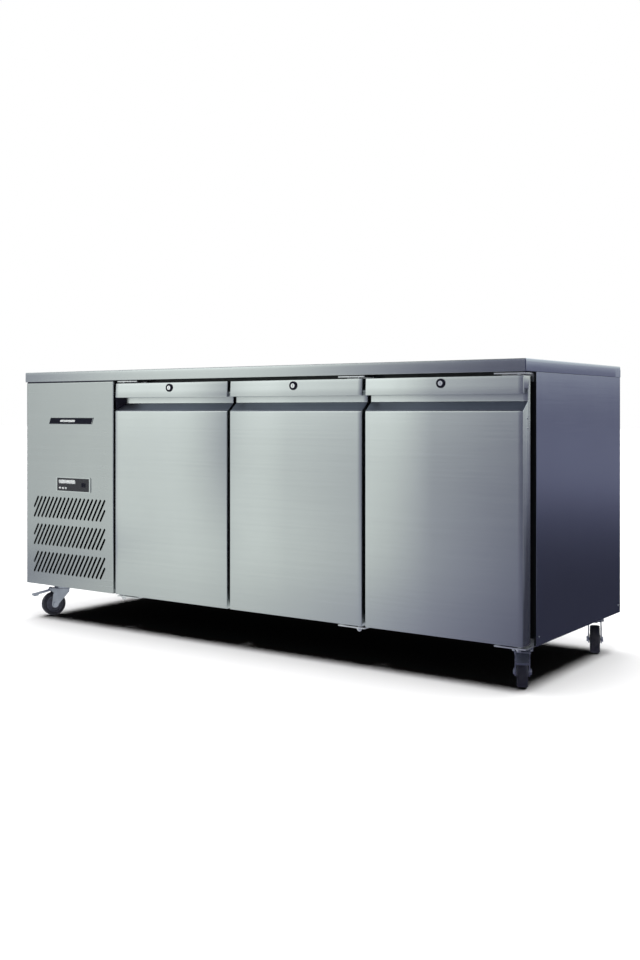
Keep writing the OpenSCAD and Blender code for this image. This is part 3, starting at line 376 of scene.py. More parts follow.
class Nodes:
    """Makes and joins the nodes of a material or a world."""

    def __init__(self, tree):
        self.tree = tree

    def add(self, kind):
        """New node."""
        return self.tree.nodes.new(kind)

    def put(self, value, socket):
        """Joins another node's output to a socket, or sets the socket to a number, vector or colour."""
        if isinstance(value, bpy.types.NodeSocket):
            self.tree.links.new(value, socket)
        elif socket.type == "RGBA":
            socket.default_value = (*value, 1.0)
        else:
            socket.default_value = value

    def combine(self, kind, first, second):
        """Adds, multiplies or otherwise combines two values."""
        node = self.add("ShaderNodeMath")
        node.operation = kind
        self.put(first, node.inputs[0])
        self.put(second, node.inputs[1])
        return node.outputs["Value"]

    def blend(self, share, first, second):
        """Colour between two colours."""
        node = self.add("ShaderNodeMix")
        node.data_type = "RGBA"
        low, high = [socket for socket in node.inputs if socket.type == "RGBA"]
        self.put(share, node.inputs["Factor"])
        self.put(first, low)
        self.put(second, high)
        return [socket for socket in node.outputs if socket.type == "RGBA"][0]

    def spread(self, value, low, high, start=0.25, end=0.75, smooth=False):
        """Maps a value between start and end onto low and high, by a straight line or a smooth step."""
        node = self.add("ShaderNodeMapRange")
        node.interpolation_type = "SMOOTHSTEP" if smooth else "LINEAR"
        for name, number in (("From Min", start), ("From Max", end), ("To Min", low), ("To Max", high)):
            node.inputs[name].default_value = number
        self.put(value, node.inputs["Value"])
        return node.outputs["Result"]


class Finish(Nodes):
    """A material that reads Object coordinates."""

    def __init__(self, name):
        self.material = bpy.data.materials.new(f"{name}_finish")
        self.material.use_nodes = True
        super().__init__(self.material.node_tree)
        self.tree.nodes.clear()
        self.surface = self.add("ShaderNodeBsdfPrincipled")
        self.put(self.surface.outputs["BSDF"], self.add("ShaderNodeOutputMaterial").inputs["Surface"])
        self.place = self.add("ShaderNodeTexCoord").outputs["Object"]
        self.relief = None

    def mapped(self, scale, turn=(0.0, 0.0, 0.0)):
        """Object coordinates turned and scaled along each axis."""
        node = self.add("ShaderNodeMapping")
        node.inputs["Scale"].default_value = scale
        node.inputs["Rotation"].default_value = turn
        self.put(self.place, node.inputs["Vector"])
        return node.outputs["Vector"]

    def noise(self, scale, detail=3.0, rough=0.55, place=None, warp=0.0):
        """Soft noise from 0 to 1."""
        node = self.add("ShaderNodeTexNoise")
        values = {"Scale": scale, "Detail": detail, "Roughness": rough, "Distortion": warp}
        for name, number in values.items():
            node.inputs[name].default_value = number
        self.put(place or self.place, node.inputs["Vector"])
        return node.outputs["Fac"]

    def cells(self, scale, output):
        """Cell pattern: the distance to the nearest cell's centre, or the cell's own colour."""
        node = self.add("ShaderNodeTexVoronoi")
        node.inputs["Scale"].default_value = scale
        self.put(self.place, node.inputs["Vector"])
        return node.outputs[output]

    def bump(self, value, distance, strength):
        """Adds a relief to the surface, on top of earlier ones."""
        node = self.add("ShaderNodeBump")
        node.inputs["Distance"].default_value = distance
        node.inputs["Strength"].default_value = strength
        self.put(value, node.inputs["Height"])
        if self.relief:
            self.put(self.relief, node.inputs["Normal"])
        self.relief = node.outputs["Normal"]
        self.put(self.relief, self.surface.inputs["Normal"])

    def set(self, **values):
        """Links or sets the shader's inputs; an underscore stands for a space."""
        for name, value in values.items():
            self.put(value, self.surface.inputs[name.replace("_", " ")])


def shade(tint, share):
    """A colour made lighter or darker."""
    return tuple(min(1.0, part * share) for part in tint)


def brushed_steel(name, tint, rough=0.30, grain=(5.0, 5.0, 620.0), waves=1.0):
    """Brushed sheet: long grain lines, faint cloudy handling marks and a slow waviness in the reflection."""
    finish = Finish(name)
    lines = finish.noise(1.0, 4.0, 0.6, finish.mapped(grain))
    coarse = finish.noise(1.0, 2.0, 0.5, finish.mapped(tuple(part * 0.22 for part in grain)))
    clouds = finish.noise(3.1, 5.0, 0.6, warp=0.4)
    wipes = finish.noise(9.0, 6.0, 0.7, finish.mapped((1.0, 1.0, 0.45), (0.0, 0.35, 0.0)), 1.2)
    streak = finish.combine("ADD", finish.spread(lines, -0.035, 0.035), finish.spread(coarse, -0.015, 0.015))
    tone = finish.combine("ADD", streak, finish.spread(clouds, -0.03, 0.03))
    base = finish.blend(finish.spread(tone, 0.0, 1.0, -0.12, 0.12), shade(tint, 0.90), shade(tint, 1.07))
    gloss = finish.combine("ADD", finish.spread(lines, rough - 0.02, rough + 0.02),
                           finish.spread(wipes, -0.012, 0.02))
    finish.set(Base_Color=base, Metallic=1.0, Roughness=gloss)
    finish.bump(lines, 0.00002, 0.3)
    finish.bump(finish.noise(2.3, 1.0, 0.4), 0.0022 * waves, 0.25)


def plated_steel(name, tint, rough=0.34, spangle=0.0):
    """Zinc plate: mottled colour, fine pits, and flat crystals where it is hot-dipped."""
    finish = Finish(name)
    mottle = finish.noise(46.0, 5.0, 0.65)
    wear = finish.noise(17.0, 6.0, 0.75, warp=0.8)
    base = finish.blend(finish.spread(mottle, 0.0, 1.0), shade(tint, 0.84), shade(tint, 1.08))
    dull = finish.spread(wear, rough - 0.06, rough + 0.14, 0.35, 0.65)
    if spangle:
        crystals = finish.add("ShaderNodeRGBToBW")
        finish.put(finish.cells(70.0, "Color"), crystals.inputs["Color"])
        grey = crystals.outputs["Val"]
        base = finish.blend(finish.spread(grey, 0.0, spangle, 0.2, 0.8), base, shade(tint, 1.15))
        dull = finish.combine("ADD", dull, finish.spread(grey, -0.05, 0.05, 0.2, 0.8))
    finish.set(Base_Color=base, Metallic=1.0, Roughness=dull)
    finish.bump(finish.noise(900.0, 2.0, 0.5), 0.00006, 0.5)
    finish.bump(mottle, 0.0003, 0.15)


def moulded_plastic(name, tint, rough, shine=0.5):
    """Moulded plastic: a fine spark-eroded texture and faint scuffs."""
    finish = Finish(name)
    scuffs = finish.noise(38.0, 6.0, 0.7, finish.mapped((1.0, 1.0, 3.0), (0.2, 0.5, 0.1)), 1.0)
    base = finish.blend(finish.spread(scuffs, 0.0, 1.0, 0.4, 0.8), shade(tint, 0.9), shade(tint, 1.8))
    finish.set(Base_Color=base, Roughness=finish.spread(scuffs, rough - 0.06, rough + 0.1),
               Specular_IOR_Level=shine)
    finish.bump(finish.noise(1500.0, 2.0, 0.5), 0.00008, 0.6)


def dark_rubber(name, tint, dust=0.0):
    """Rubber: a matt skin with a fine bloom, and floor dust on a tyre."""
    finish = Finish(name)
    bloom = finish.noise(120.0, 5.0, 0.65)
    wear = finish.noise(22.0, 5.0, 0.7, warp=0.6)
    base = finish.blend(finish.spread(bloom, 0.0, 1.0), shade(tint, 0.8), shade(tint, 1.7))
    if dust:
        base = finish.blend(finish.spread(wear, 0.0, dust, 0.45, 0.75), base, (0.10, 0.10, 0.105))
    finish.set(Base_Color=base, Roughness=finish.spread(wear, 0.52, 0.70))
    finish.bump(bloom, 0.0002, 0.35)


def cut_foam(name, tint):
    """Rigid foam: small round cells and patches of deeper colour."""
    finish = Finish(name)
    patches = finish.spread(finish.noise(14.0, 4.0, 0.6), 0.0, 1.0)
    finish.set(Base_Color=finish.blend(patches, shade(tint, 0.8), shade(tint, 1.15)), Roughness=0.92)
    finish.bump(finish.cells(420.0, "Distance"), 0.0009, 0.7)


def copper_pipe(name, tint):
    """Drawn copper with brown tarnish."""
    finish = Finish(name)
    tarnish = finish.noise(30.0, 6.0, 0.7, warp=0.7)
    base = finish.blend(finish.spread(tarnish, 0.0, 0.8, 0.4, 0.7), tint, (0.22, 0.10, 0.06))
    finish.set(Base_Color=base, Metallic=1.0, Roughness=finish.spread(tarnish, 0.24, 0.5, 0.35, 0.7))
    finish.bump(finish.noise(600.0, 2.0), 0.00005, 0.4)


def painted_shell(name, tint):
    """Thick gloss paint with orange peel and a little dust."""
    finish = Finish(name)
    dust = finish.noise(25.0, 6.0, 0.7)
    base = finish.blend(finish.spread(dust, 0.0, 0.5, 0.5, 0.8), tint, (0.07, 0.07, 0.07))
    finish.set(Base_Color=base, Roughness=finish.spread(dust, 0.28, 0.55, 0.4, 0.75))
    finish.bump(finish.noise(260.0, 3.0, 0.5), 0.0002, 0.35)


def dark_glass(name, tint):
    """Tinted window: near black, glossy, with wiping marks."""
    finish = Finish(name)
    marks = finish.noise(60.0, 6.0, 0.75, finish.mapped((0.6, 1.0, 2.0), (0.0, 0.4, 0.0)), 1.5)
    base = finish.blend(finish.spread(marks, 0.0, 0.4, 0.45, 0.8), tint, shade(tint, 2.2))
    finish.set(Base_Color=base, Roughness=finish.spread(marks, 0.10, 0.26, 0.4, 0.75))
    finish.bump(marks, 0.00003, 0.2)


def make_finishes(tints):
    """Makes a material for each of the record's slots, and a few for parts of pieces. A brushed finish is
    given by its colour, roughness, grain along X, Y and Z, and waviness."""
    steel, side, black, pale = tints.steel, tints.side_steel, tints.black, tints.pale
    along, liner = (5.0, 600.0, 600.0), (5.0, 420.0, 420.0)
    brushed = {
        "worktop_steel": (shade(steel, 1.02), 0.23, along),
        # The machine panel's steel is darker than the doors': painted shade.
        "panel_steel": (shade(steel, 0.84), 0.25, (5.0, 5.0, 620.0), 1.4),
        "door_steel": (steel, 0.23),
        # The ends' steel, and the worktop's ends that take it, are darker and bluer than the fronts: painted
        # shade.
        "side_steel": (side, 0.16, (5.0, 5.0, 620.0), 1.6),
        "end_steel": (shade(side, 1.05), 0.2, (600.0, 5.0, 600.0)),
        # Darker, bluer steel for the slope under each finger recess: painted shade in the recess.
        "grip_steel": (shade(side, 0.8), 0.35),
        "liner_steel": (shade(steel, 1.05), 0.26, liner),
        # The front frame's steel at a tenth of its colour, near black: painted shade in the gaps round the doors.
        "frame_steel": (shade(steel, 0.10), 0.45, liner),
        "bezel_metal": (shade(steel, 0.98), 0.24, (40.0, 40.0, 1500.0)),
        "lock_metal": (tints.chrome, 0.16, (900.0, 60.0, 900.0), 0.0),
        "shelf_wire": (shade(steel, 1.1), 0.20, (300.0, 20.0, 300.0), 0.0),
    }
    plated = {
        "zinc_plate": (tints.zinc,),
        "hinge_zinc": ((0.93, 0.94, 0.95), 0.30),
        # The condenser coil darkened to near black: painted shade behind the panel's slots.
        "condenser_black": ((0.045, 0.045, 0.05), 0.5),
        "galvanised": (tints.galvanised, 0.42, 0.7),
        "coil_aluminium": ((0.74, 0.75, 0.77),),
    }
    plastic = {
        "black_plastic": (black, 0.5, 0.12),
        "badge_black": (black, 0.3, 0.08),
        "key_plastic": (pale, 0.4),
        "wheel_centre": ((0.10, 0.105, 0.15), 0.4),
        # The pale bar paints the badge's blank bar and the painted highlight on the controller's window.
        "pale_bar": (pale, 0.32),
    }
    for maker, named in ((brushed_steel, brushed), (plated_steel, plated), (moulded_plastic, plastic)):
        for name, values in named.items():
            maker(name, *values)
    dark_rubber("gasket_rubber", tints.rubber)
    dark_rubber("tyre_rubber", tints.rubber, 0.5)
    copper_pipe("copper_pipe", tints.copper)
    cut_foam("foam", tints.foam)
    dark_glass("display_glass", (0.010, 0.009, 0.016))
    painted_shell("unit_paint", (0.012, 0.012, 0.013))


def finish_named(name):
    """A finish by its name. All of them are made when the first is asked for."""
    if f"{name}_finish" not in bpy.data.materials:
        make_finishes(bpy.context.scene.fridge_finishes)
    return bpy.data.materials[f"{name}_finish"]


# ---------------------------------------------------------------- shapes of the pieces

def filled_plate(loops, depth):
    """Flat face in X and Z at one depth in Y: the first loop is its outline and the others are holes."""
    work = bmesh.new()
    for loop in loops:
        corners = [work.verts.new((x, depth, z)) for x, z in loop]
        for first, second in zip(corners, corners[1:] + corners[:1]):
            work.edges.new((first, second))
    bmesh.ops.triangle_fill(work, edges=work.edges, use_beauty=True, use_dissolve=False)
    work.verts.index_update()
    points = np.array([vertex.co for vertex in work.verts])
    faces = [[vertex.index for vertex in face.verts] for face in work.faces]
    work.free()
    return points, faces


def worktop_shape(sheet, top_box, lip_back):
    """Folded tray: rounded rectangles stacked from the edge of the lips, out round the lower bend, up the
    rim, over the upper bend and across the top. The upper bend's inset is r (1 - cos a) at a height of
    r sin a."""
    low, high = top_box
    edge, bend, lip = 0.3 * MM, sheet.rim_bend, sheet.rim_lip
    turn = quarter_turn(5)
    fold, least_corner, lip_rows = 1.5 * MM, 0.4 * MM, 2
    insets = [lip - edge] * lip_rows + [3 * fold]
    heights = [low[2] + sheet.worktop, low[2], low[2]]
    insets += (fold * (1 - np.sin(turn))).tolist()
    heights += (low[2] + fold * (1 - np.cos(turn))).tolist()
    insets += [0.0] + (bend * (1 - np.cos(turn))).tolist() + [3 * bend]
    heights += [high[2] - 3 * bend] + (high[2] - bend + bend * np.sin(turn)).tolist() + [high[2]]
    loops = []
    for row, inset in enumerate(insets):
        corner = low[:2] + edge + inset
        if row < lip_rows:
            corner = np.array([corner[0], lip_back])
        loops.append(rounded_loop(corner, high[:2] - edge - inset, max(bend - inset, least_corner)))
    return shell(lay_flat(loops, heights), cap_last=True)


def grip_profile(grip, sheet, depth, height, flange_stops, lock_stops):
    """Open line of a door's section in Y and Z, from the lower back edge round the front and the grip to the
    upper back edge; each bend is an arc. The stops are points that holes and windows start and end at."""
    strip = height - grip.strip
    slope = strip - grip.mouth
    ceiling = strip + grip.pocket
    lean = grip.lean / grip.strip
    low_stops = [((y, 0.0), 0.0) for y in reversed(flange_stops)]
    high_stops = [((y, height), 0.0) for y in flange_stops]
    face_stops = [((lean * (z - strip), z), 0.0) for z in lock_stops]
    corners = [((depth, 0.0), 0.0)] + low_stops + [
        ((0.0, 0.0), sheet.bend),
        ((0.0, slope), grip.shoulder),
        ((grip.recess, slope + grip.slope), 4.0 * MM),
        ((grip.recess, ceiling), 2.5 * MM),
        ((grip.lip, ceiling), 1.5 * MM),
        ((grip.lip, strip), 1.8 * MM),
        ((0.0, strip), 1.8 * MM),
    ] + face_stops + [((grip.lean, height), sheet.bend)] + high_stops + [((depth, height), 0.0)]
    places, radii = zip(*corners)
    return fillet(places, radii[1:-1], 5)


def door_block_shape(profile, origin, width, radius, windows, closed):
    """Section carried along X. Near each end the section is inset by r (1 - sin a) at a distance of
    r (1 - cos a) from the end, which rounds the edge. The ends are closed, and cells in a window are open."""
    turn = quarter_turn(4)
    near, inset = radius * (1 - np.cos(turn)), radius * (1 - np.sin(turn))
    stops = sorted({round(stop, 6) for window in windows for stop in window[0]})
    flat = [stop for stop in stops if 2 * radius < stop < width - 2 * radius]
    x = np.concatenate([near, flat, width - near[::-1]])
    shrink = np.concatenate([inset, np.zeros(len(flat)), inset[::-1]])
    section = profile[None] - shrink[:, None, None] * mitre(profile)[None]
    points = np.concatenate([np.broadcast_to(x[:, None, None], section.shape[:2] + (1,)), section], axis=2)
    rows, count = points.shape[:2]
    faces = grid_faces(rows, count, close_columns=closed)
    middle = points.reshape(-1, 3)[faces].mean(axis=1)
    keep = np.ones(len(faces), bool)
    for window in windows:
        low, high = np.array(window).T
        keep &= ~np.all((middle > low) & (middle < high), axis=1)
    faces = faces[keep].tolist() + [list(range(count)), list(range((rows - 1) * count, rows * count))]
    return points.reshape(-1, 3) + np.asarray(origin), faces


def liner_shape(box, inset, depth, rim_depth, radius):
    """Sheet with a raised pan: rounded rectangles that step in to the pan's foot and rise to its top, whose
    edge is rounded by r (1 - cos a) across and r (1 - sin a) down."""
    low, high = box[0][[0, 2]], box[1][[0, 2]]
    top = box[1][1] - 0.05 * MM
    foot = box[1][1] - depth
    skirt, batter, run, step = 3.0 * MM, 1.6 * MM, 6.0 * MM, 0.8 * MM
    turn = quarter_turn(4)
    insets = [0.0, 0.0, inset - skirt, inset] + (inset + batter + radius * (1 - np.cos(turn))).tolist()
    insets += [inset + run + radius]
    depths = [foot - rim_depth, foot, foot, foot + step] + (top - radius * (1 - np.sin(turn))).tolist()
    depths += [top]
    corners = np.array([1.0] * 2 + [12.0] * 2 + [11.0] * 5 + [10.0]) * MM
    loops = [rounded_loop(low + gap, high - gap, corner) for gap, corner in zip(insets, corners)]
    return block(stand_up(loops, depths))


def gasket_shape(box, width):
    """Magnetic gasket: its section, a foot, two folds of bellows and a rounded pouch, is carried round a
    rounded rectangle. The section is the same on both sides of its middle."""
    low, high = box[0][[0, 2]], box[1][[0, 2]]
    foot, depth = box[0][1], box[1][1] - box[0][1]
    drawn_width, corner = 16.0, 18.0 * MM
    half = np.array([(0.5, 0.00), (0.0, 0.02), (0.0, 0.14), (2.6, 0.20), (2.2, 0.28), (0.6, 0.36),
                     (0.5, 0.44), (2.8, 0.52), (2.6, 0.58), (0.3, 0.64), (0.0, 0.70), (0.0, 0.92),
                     (1.2, 1.00)])
    section = np.vstack([half, half[::-1] * (-1.0, 1.0) + (drawn_width, 0.0)])
    insets = section[:, 0] * width / drawn_width
    loops = [rounded_loop(low + inset, high - inset, corner - inset) for inset in insets]
    return shell(stand_up(loops, foot + section[:, 1] * depth), close_rows=True)


def louvre_loops(louvre, centre_x, first_z):
    """Slots with round ends, leaning to the right: a slot's own axes are turned by the lean. The slots at the
    two ends of a row are cut short where they pass the row's upright ends."""
    sine, cosine = math.sin(louvre.lean), math.cos(louvre.lean)
    axes = np.array([[cosine, -sine], [sine, cosine]])
    half = louvre.reach / 2
    half_run = (louvre.count - 1) * louvre.pitch / 2 + half * sine
    turn = np.linspace(0.0, math.pi, 9)
    arc = louvre.width / 2 * np.stack([np.cos(turn), np.sin(turn)], axis=1)
    loops = []
    for row in range(louvre.rows):
        for place in range(-1, louvre.count + 1):
            x = (place - (louvre.count - 1) / 2) * louvre.pitch
            start = max(-half, (-half_run - x) / sine)
            end = min(half, (half_run - x) / sine)
            outline = np.vstack([arc + [0.0, end], -arc + [0.0, start]])
            loops.append(outline @ axes + [centre_x + x, first_z + row * louvre.row_pitch])
    return loops


def machine_panel_shape(sheet, louvre, box, window):
    """Flat face with the slots and the controller's opening, and round it a bend of r (1 - cos a) and a
    flange."""
    low, high = box
    flat_low, flat_high = low[[0, 2]], high[[0, 2]]
    bend, corner, flange = sheet.bend, 0.6 * MM, 14.0 * MM
    slots = louvre_loops(louvre, (low[0] + high[0]) / 2, low[2] + louvre.row_rise)
    outline = rounded_loop(flat_low + 2.2 * bend, flat_high - 2.2 * bend, corner, 3)
    face = filled_plate([outline] + slots + [window], low[1])
    turn = quarter_turn(5)
    insets = [2.2 * bend] + (bend * (1 - np.sin(turn))).tolist() + [0.0, 0.0, flange]
    depths = [low[1]] + (low[1] + bend * (1 - np.cos(turn))).tolist() + [high[1] - MM, high[1], high[1]]
    loops = [rounded_loop(flat_low + i, flat_high - i, max(corner, 3 * corner - i), 3) for i in insets]
    return join(face, shell(stand_up(loops, depths)))


def lock_ring_shape(lock, centre):
    """Ring with a rounded face, and the sleeve behind it, turned about the lock's axis."""
    inner, outer, back = lock.barrel + 0.15 * MM, lock.ring, lock.depth - 2.0 * MM
    edge, proud, flange, chamfer = 1.4 * MM, 2.4 * MM, 2.6 * MM, 0.8 * MM
    turn = quarter_turn(4)
    face = np.stack([outer - edge + edge * np.cos(turn), proud - edge + edge * np.sin(turn)], axis=1)
    section = [(inner, -back), (lock.sleeve, -back), (lock.sleeve, -flange), (outer, -flange)] + face.tolist()
    section += [(inner + chamfer, proud), (inner, proud - chamfer)]
    return turned(section, LOCK_SIDES, centre, (0.0, -1.0, 0.0), closed=True)


def barrel_shape(lock, centre):
    """Key barrel turned about the lock's axis, its face pierced by a keyway with a floor, and the cam at its
    back."""
    x, y, z = centre
    count, proud, radius, chamfer = LOCK_SIDES, 2.0 * MM, lock.barrel, 0.5 * MM
    rim = radius - chamfer
    turn = np.arange(count) * 2 * math.pi / count
    face_loop = np.array([x, z]) + rim * np.stack([np.sin(turn), np.cos(turn)], axis=1)
    slot = np.array([x, z]) + stadium(0.9 * MM, 6.4 * MM, 16)
    face = filled_plate([face_loop, slot], y - proud)
    keyway = shell(stand_up([slot, slot], [y - proud, y + 2.0 * MM]), cap_last=True)
    back = lock.cam_start
    section = [(rim, proud), (radius, proud - chamfer), (radius, -back), (POLE, -back)]
    body = turned(section, count, centre, (0.0, -1.0, 0.0))
    half = lock.cam_width / 2
    low, high = np.array([x - lock.cam_reach, z - half]), np.array([x + half, z + half])
    loops = [rounded_loop(low, high, half - 0.3 * MM, 6)] * 2
    cam = block(stand_up(loops, [y + back, y + back + lock.cam_thickness]))
    return join(face, keyway, body, cam)


def leaning_loop(centre, width, height, lean, inset):
    """Corners of a leaning plate, inset evenly and rounded."""
    slant = lean / height
    half_w, half_h = width / 2 - inset, height / 2 - inset
    flat = rounded_loop((-half_w, -half_h), (half_w, half_h), max(2.2 * MM - inset, 0.5 * MM), 4)
    return np.asarray(centre) + np.stack([flat[:, 0] + slant * flat[:, 1], flat[:, 1]], axis=1)


def dished_plate(loop_at, depths, insets):
    """Plate whose outline steps in and out along its depth."""
    loops = [loop_at(inset) for inset in insets]
    return block(stand_up(loops, depths))


def wheel_shape(wheel, centre, axis):
    """Crowned tyre, recessed disc with a bead, and a proud hub with its bore, turned about the axle."""
    r, w = wheel.radius, wheel.half_width
    turn = np.linspace(math.pi / 2, 0.0, 6)
    shoulder = 5.0 * MM
    crown = r - shoulder - 0.4 * MM
    side = [(wheel.bore, w + 1.5 * MM), (wheel.hub - 1.0 * MM, w + 1.5 * MM), (wheel.hub, w + 0.5 * MM),
            (wheel.hub + 1.0 * MM, w - 3.5 * MM), (wheel.rim - 4.0 * MM, w - 3.5 * MM),
            (wheel.rim - 3.0 * MM, w - 1.6 * MM), (wheel.rim, w - 1.2 * MM), (wheel.rim + 0.6 * MM, w)]
    side += [(crown + shoulder * math.cos(a), w - shoulder + shoulder * math.sin(a)) for a in turn]
    side += [(r, w * 0.35)]
    mirrored = [(radius, -along) for radius, along in reversed(side)]
    return turned(side + mirrored, WHEEL_SIDES, centre, axis, closed=True)


def screw_shape(centre, axis, radius, height):
    """Low domed screw head with a recess in the middle, turned about its axis."""
    section = [(radius, -0.4 * MM), (radius, 0.25 * height), (radius * 0.86, 0.72 * height),
               (radius * 0.55, height), (radius * 0.30, height), (radius * 0.22, 0.35 * height),
               (POLE, 0.3 * height)]
    return turned(section, SCREW_SIDES, centre, axis)


def paint_where(piece, finish, chosen):
    """Gives the faces whose centres pass a test another finish."""
    mesh = piece.data
    centres = np.empty(len(mesh.polygons) * 3)
    mesh.polygons.foreach_get("center", centres)
    index = np.empty(len(mesh.polygons), np.int32)
    mesh.polygons.foreach_get("material_index", index)
    mesh.materials.append(finish_named(finish))
    index[chosen(centres.reshape(-1, 3))] = len(mesh.materials) - 1
    mesh.polygons.foreach_set("material_index", index)
    mesh.update()


# ---------------------------------------------------------------- operators

class MakeWorktop(bpy.types.Operator):
    """Folds the worktop, with its rim, lips, corner seam and the tab at the back of each side rim"""

    bl_idname = "fridge.worktop"
    bl_label = "Worktop"

    def execute(self, context):
        sheet = context.scene.fridge_sheet
        low, high = span("worktop")
        lip_back = span("front_frame")[0][1] + sheet.rim_lip
        tray = make_piece("worktop_tray", worktop_shape(sheet, (low, high), lip_back),
                          "worktop_steel", "cabinet", ["worktop"], thickness=sheet.worktop)
        # The worktop's ends get the ends' darker, bluer steel: painted shade.
        paint_where(tray, "end_steel", lambda at: np.abs(at[:, 0]) > high[0] - sheet.rim_bend)
        seam_x = high[0] - 0.25 * MM
        bead = rounded_loop((seam_x - 0.9 * MM, low[1] + 0.1 * MM), (seam_x, low[1] + 1.5 * MM), 0.35 * MM, 3)
        heights = [low[2] + 0.6 * MM, high[2] - sheet.rim_bend]
        make_piece("worktop_corner_bead", block(lay_flat([bead] * 2, heights)), "black_plastic", "cabinet")
        outline = rounded_loop((high[1] - 41.0 * MM, low[2] + 0.6 * MM), (high[1] - MM, low[2] + 23.0 * MM),
                               1.5 * MM, 4)
        middle = outline.mean(axis=0)
        # The tabs on the worktop's ends take the same darker steel: painted shade.
        for name, side, face in (("left", -1.0, low[0]), ("right", 1.0, high[0])):
            loops = []
            for depth, share in ((0.9 * MM, 1.0), (0.25 * MM, 1.0), (0.0, 1.0 - 0.25 / 12.0)):
                x = np.full((len(outline), 1), face - side * depth)
                loops.append(np.hstack([x, middle + (outline - middle) * share]))
            make_piece(f"worktop_tab_{name}", block(loops), "end_steel", "cabinet", sharp=5.0)
        return {"FINISHED"}


class MakeDoorSkins(bpy.types.Operator):
    """Folds the three door skins with their finger grips and holes, and fills them with foam"""

    bl_idname = "fridge.door_skins"
    bl_label = "Door skins"

    def execute(self, context):
        sheet, grip, lock = context.scene.fridge_sheet, context.scene.fridge_grip, context.scene.fridge_lock
        for door in DOORS:
            low, high = span(f"door_{door}_skin")
            size = high - low
            hinge = np.array(JOINTS[f"door_{door}_hinge"]["pos_m"]) - low
            key = np.array(JOINTS[f"lock_{door}_turn"]["pos_m"]) - low
            hole, pin = 8.4 * MM, 5.0 * MM
            pin_x, pin_y = [(centre - pin, centre + pin) for centre in hinge[:2]]
            hole_x, hole_z = [(centre - hole, centre + hole) for centre in key[[0, 2]]]
            cam_x = (key[0] - lock.cam_reach, key[0] + lock.cam_width)
            cam_y = (lock.cam_start - MM, lock.cam_start + lock.cam_thickness + MM)
            top, bottom = (size[2] - 2 * MM, size[2] + MM), (-MM, 2 * MM)
            profile = grip_profile(grip, sheet, size[1], size[2], sorted({*pin_y, *cam_y}), hole_z)
            windows = [(hole_x, (-MM, 6.0 * MM), hole_z), (cam_x, cam_y, top), (pin_x, pin_y, top),
                       (pin_x, pin_y, bottom)]
            skin = door_block_shape(profile, low, size[0], sheet.edge, windows, False)
            folded = make_piece(f"door_{door}_folded_skin", skin, "door_steel", f"door_{door}",
                                [f"door_{door}_skin"], thickness=sheet.skin)
            slope = high[2] - grip.strip - grip.mouth
            # The slope under the recess takes the darker grip steel: painted shade.
            paint_where(folded, "grip_steel",
                        lambda at: (at[:, 2] > slope + 3.5 * MM) & (at[:, 2] < slope + grip.slope)
                        & (at[:, 1] < low[1] + grip.recess))
            gap = sheet.skin + 0.1 * MM
            inner = profile - gap * mitre(profile)
            inner[[0, -1], 0] = size[1] - 1.1 * MM
            core = door_block_shape(inner, low + [gap, 0.0, 0.0], size[0] - 2 * gap, 0.5 * MM,
                                    [((x0 - gap, x1 - gap), y, z) for (x0, x1), y, z in windows], True)
            make_piece(f"door_{door}_foam_core", core, "foam", f"door_{door}",
                       [f"door_{door}_foam"])
        return {"FINISHED"}


class MakeDoorLiners(bpy.types.Operator):
    """Presses the inner sheet of each door, with its raised pan"""

    bl_idname = "fridge.door_liners"
    bl_label = "Door liners"

    def execute(self, context):
        seal = context.scene.fridge_seal
        inset = seal.inset + seal.width + seal.pan_gap - 1.2 * MM
        for door in DOORS:
            node = f"door_{door}_liner"
            shape = liner_shape(span(node), inset, seal.pan_depth, 0.9 * MM, 3.0 * MM)
            make_piece(f"door_{door}_pressed_liner", shape, "liner_steel", f"door_{door}", [node])
        return {"FINISHED"}


class MakeGaskets(bpy.types.Operator):
    """Makes the magnetic gasket of each door, with its bellows"""

    bl_idname = "fridge.gaskets"
    bl_label = "Gaskets"

    def execute(self, context):
        for door in DOORS:
            node = f"door_{door}_gasket"
            make_piece(f"door_{door}_bellows", gasket_shape(span(node), context.scene.fridge_seal.width),
                       "gasket_rubber", f"door_{door}", [node])
        return {"FINISHED"}


class MakeLocks(bpy.types.Operator):
    """Makes the black lock rings and the bright key barrels with their cams"""

    bl_idname = "fridge.locks"
    bl_label = "Locks"

    def execute(self, context):
        lock = context.scene.fridge_lock
        for door in DOORS:
            ring, barrel = f"door_{door}_lock", f"door_{door}_barrel"
            centre = np.array(JOINTS[f"lock_{door}_turn"]["pos_m"])
            centre[1] = span(f"door_{door}_skin")[0][1]
            make_piece(f"door_{door}_lock_ring", lock_ring_shape(lock, centre), "black_plastic",
                       f"door_{door}", [ring])
            make_piece(f"door_{door}_key_barrel", barrel_shape(lock, centre), "lock_metal",
                       f"lock_{door}", [barrel])
        return {"FINISHED"}


class MakeMachinePanel(bpy.types.Operator):
    """Folds the panel in front of the machine compartment and punches its leaning slots"""

    bl_idname = "fridge.machine_panel"
    bl_label = "Machine panel"

    def execute(self, context):
        sheet = context.scene.fridge_sheet
        low, high = span("display_window")
        window = rounded_loop(low[[0, 2]] + 4.0 * MM, high[[0, 2]] - 4.0 * MM, 1.0 * MM, 3)
        shape = machine_panel_shape(sheet, context.scene.fridge_louvre, span("machine_panel"), window)
        make_piece("machine_louvre_panel", shape, "panel_steel", "cabinet",
                   ["machine_panel"], thickness=sheet.skin)
        return {"FINISHED"}


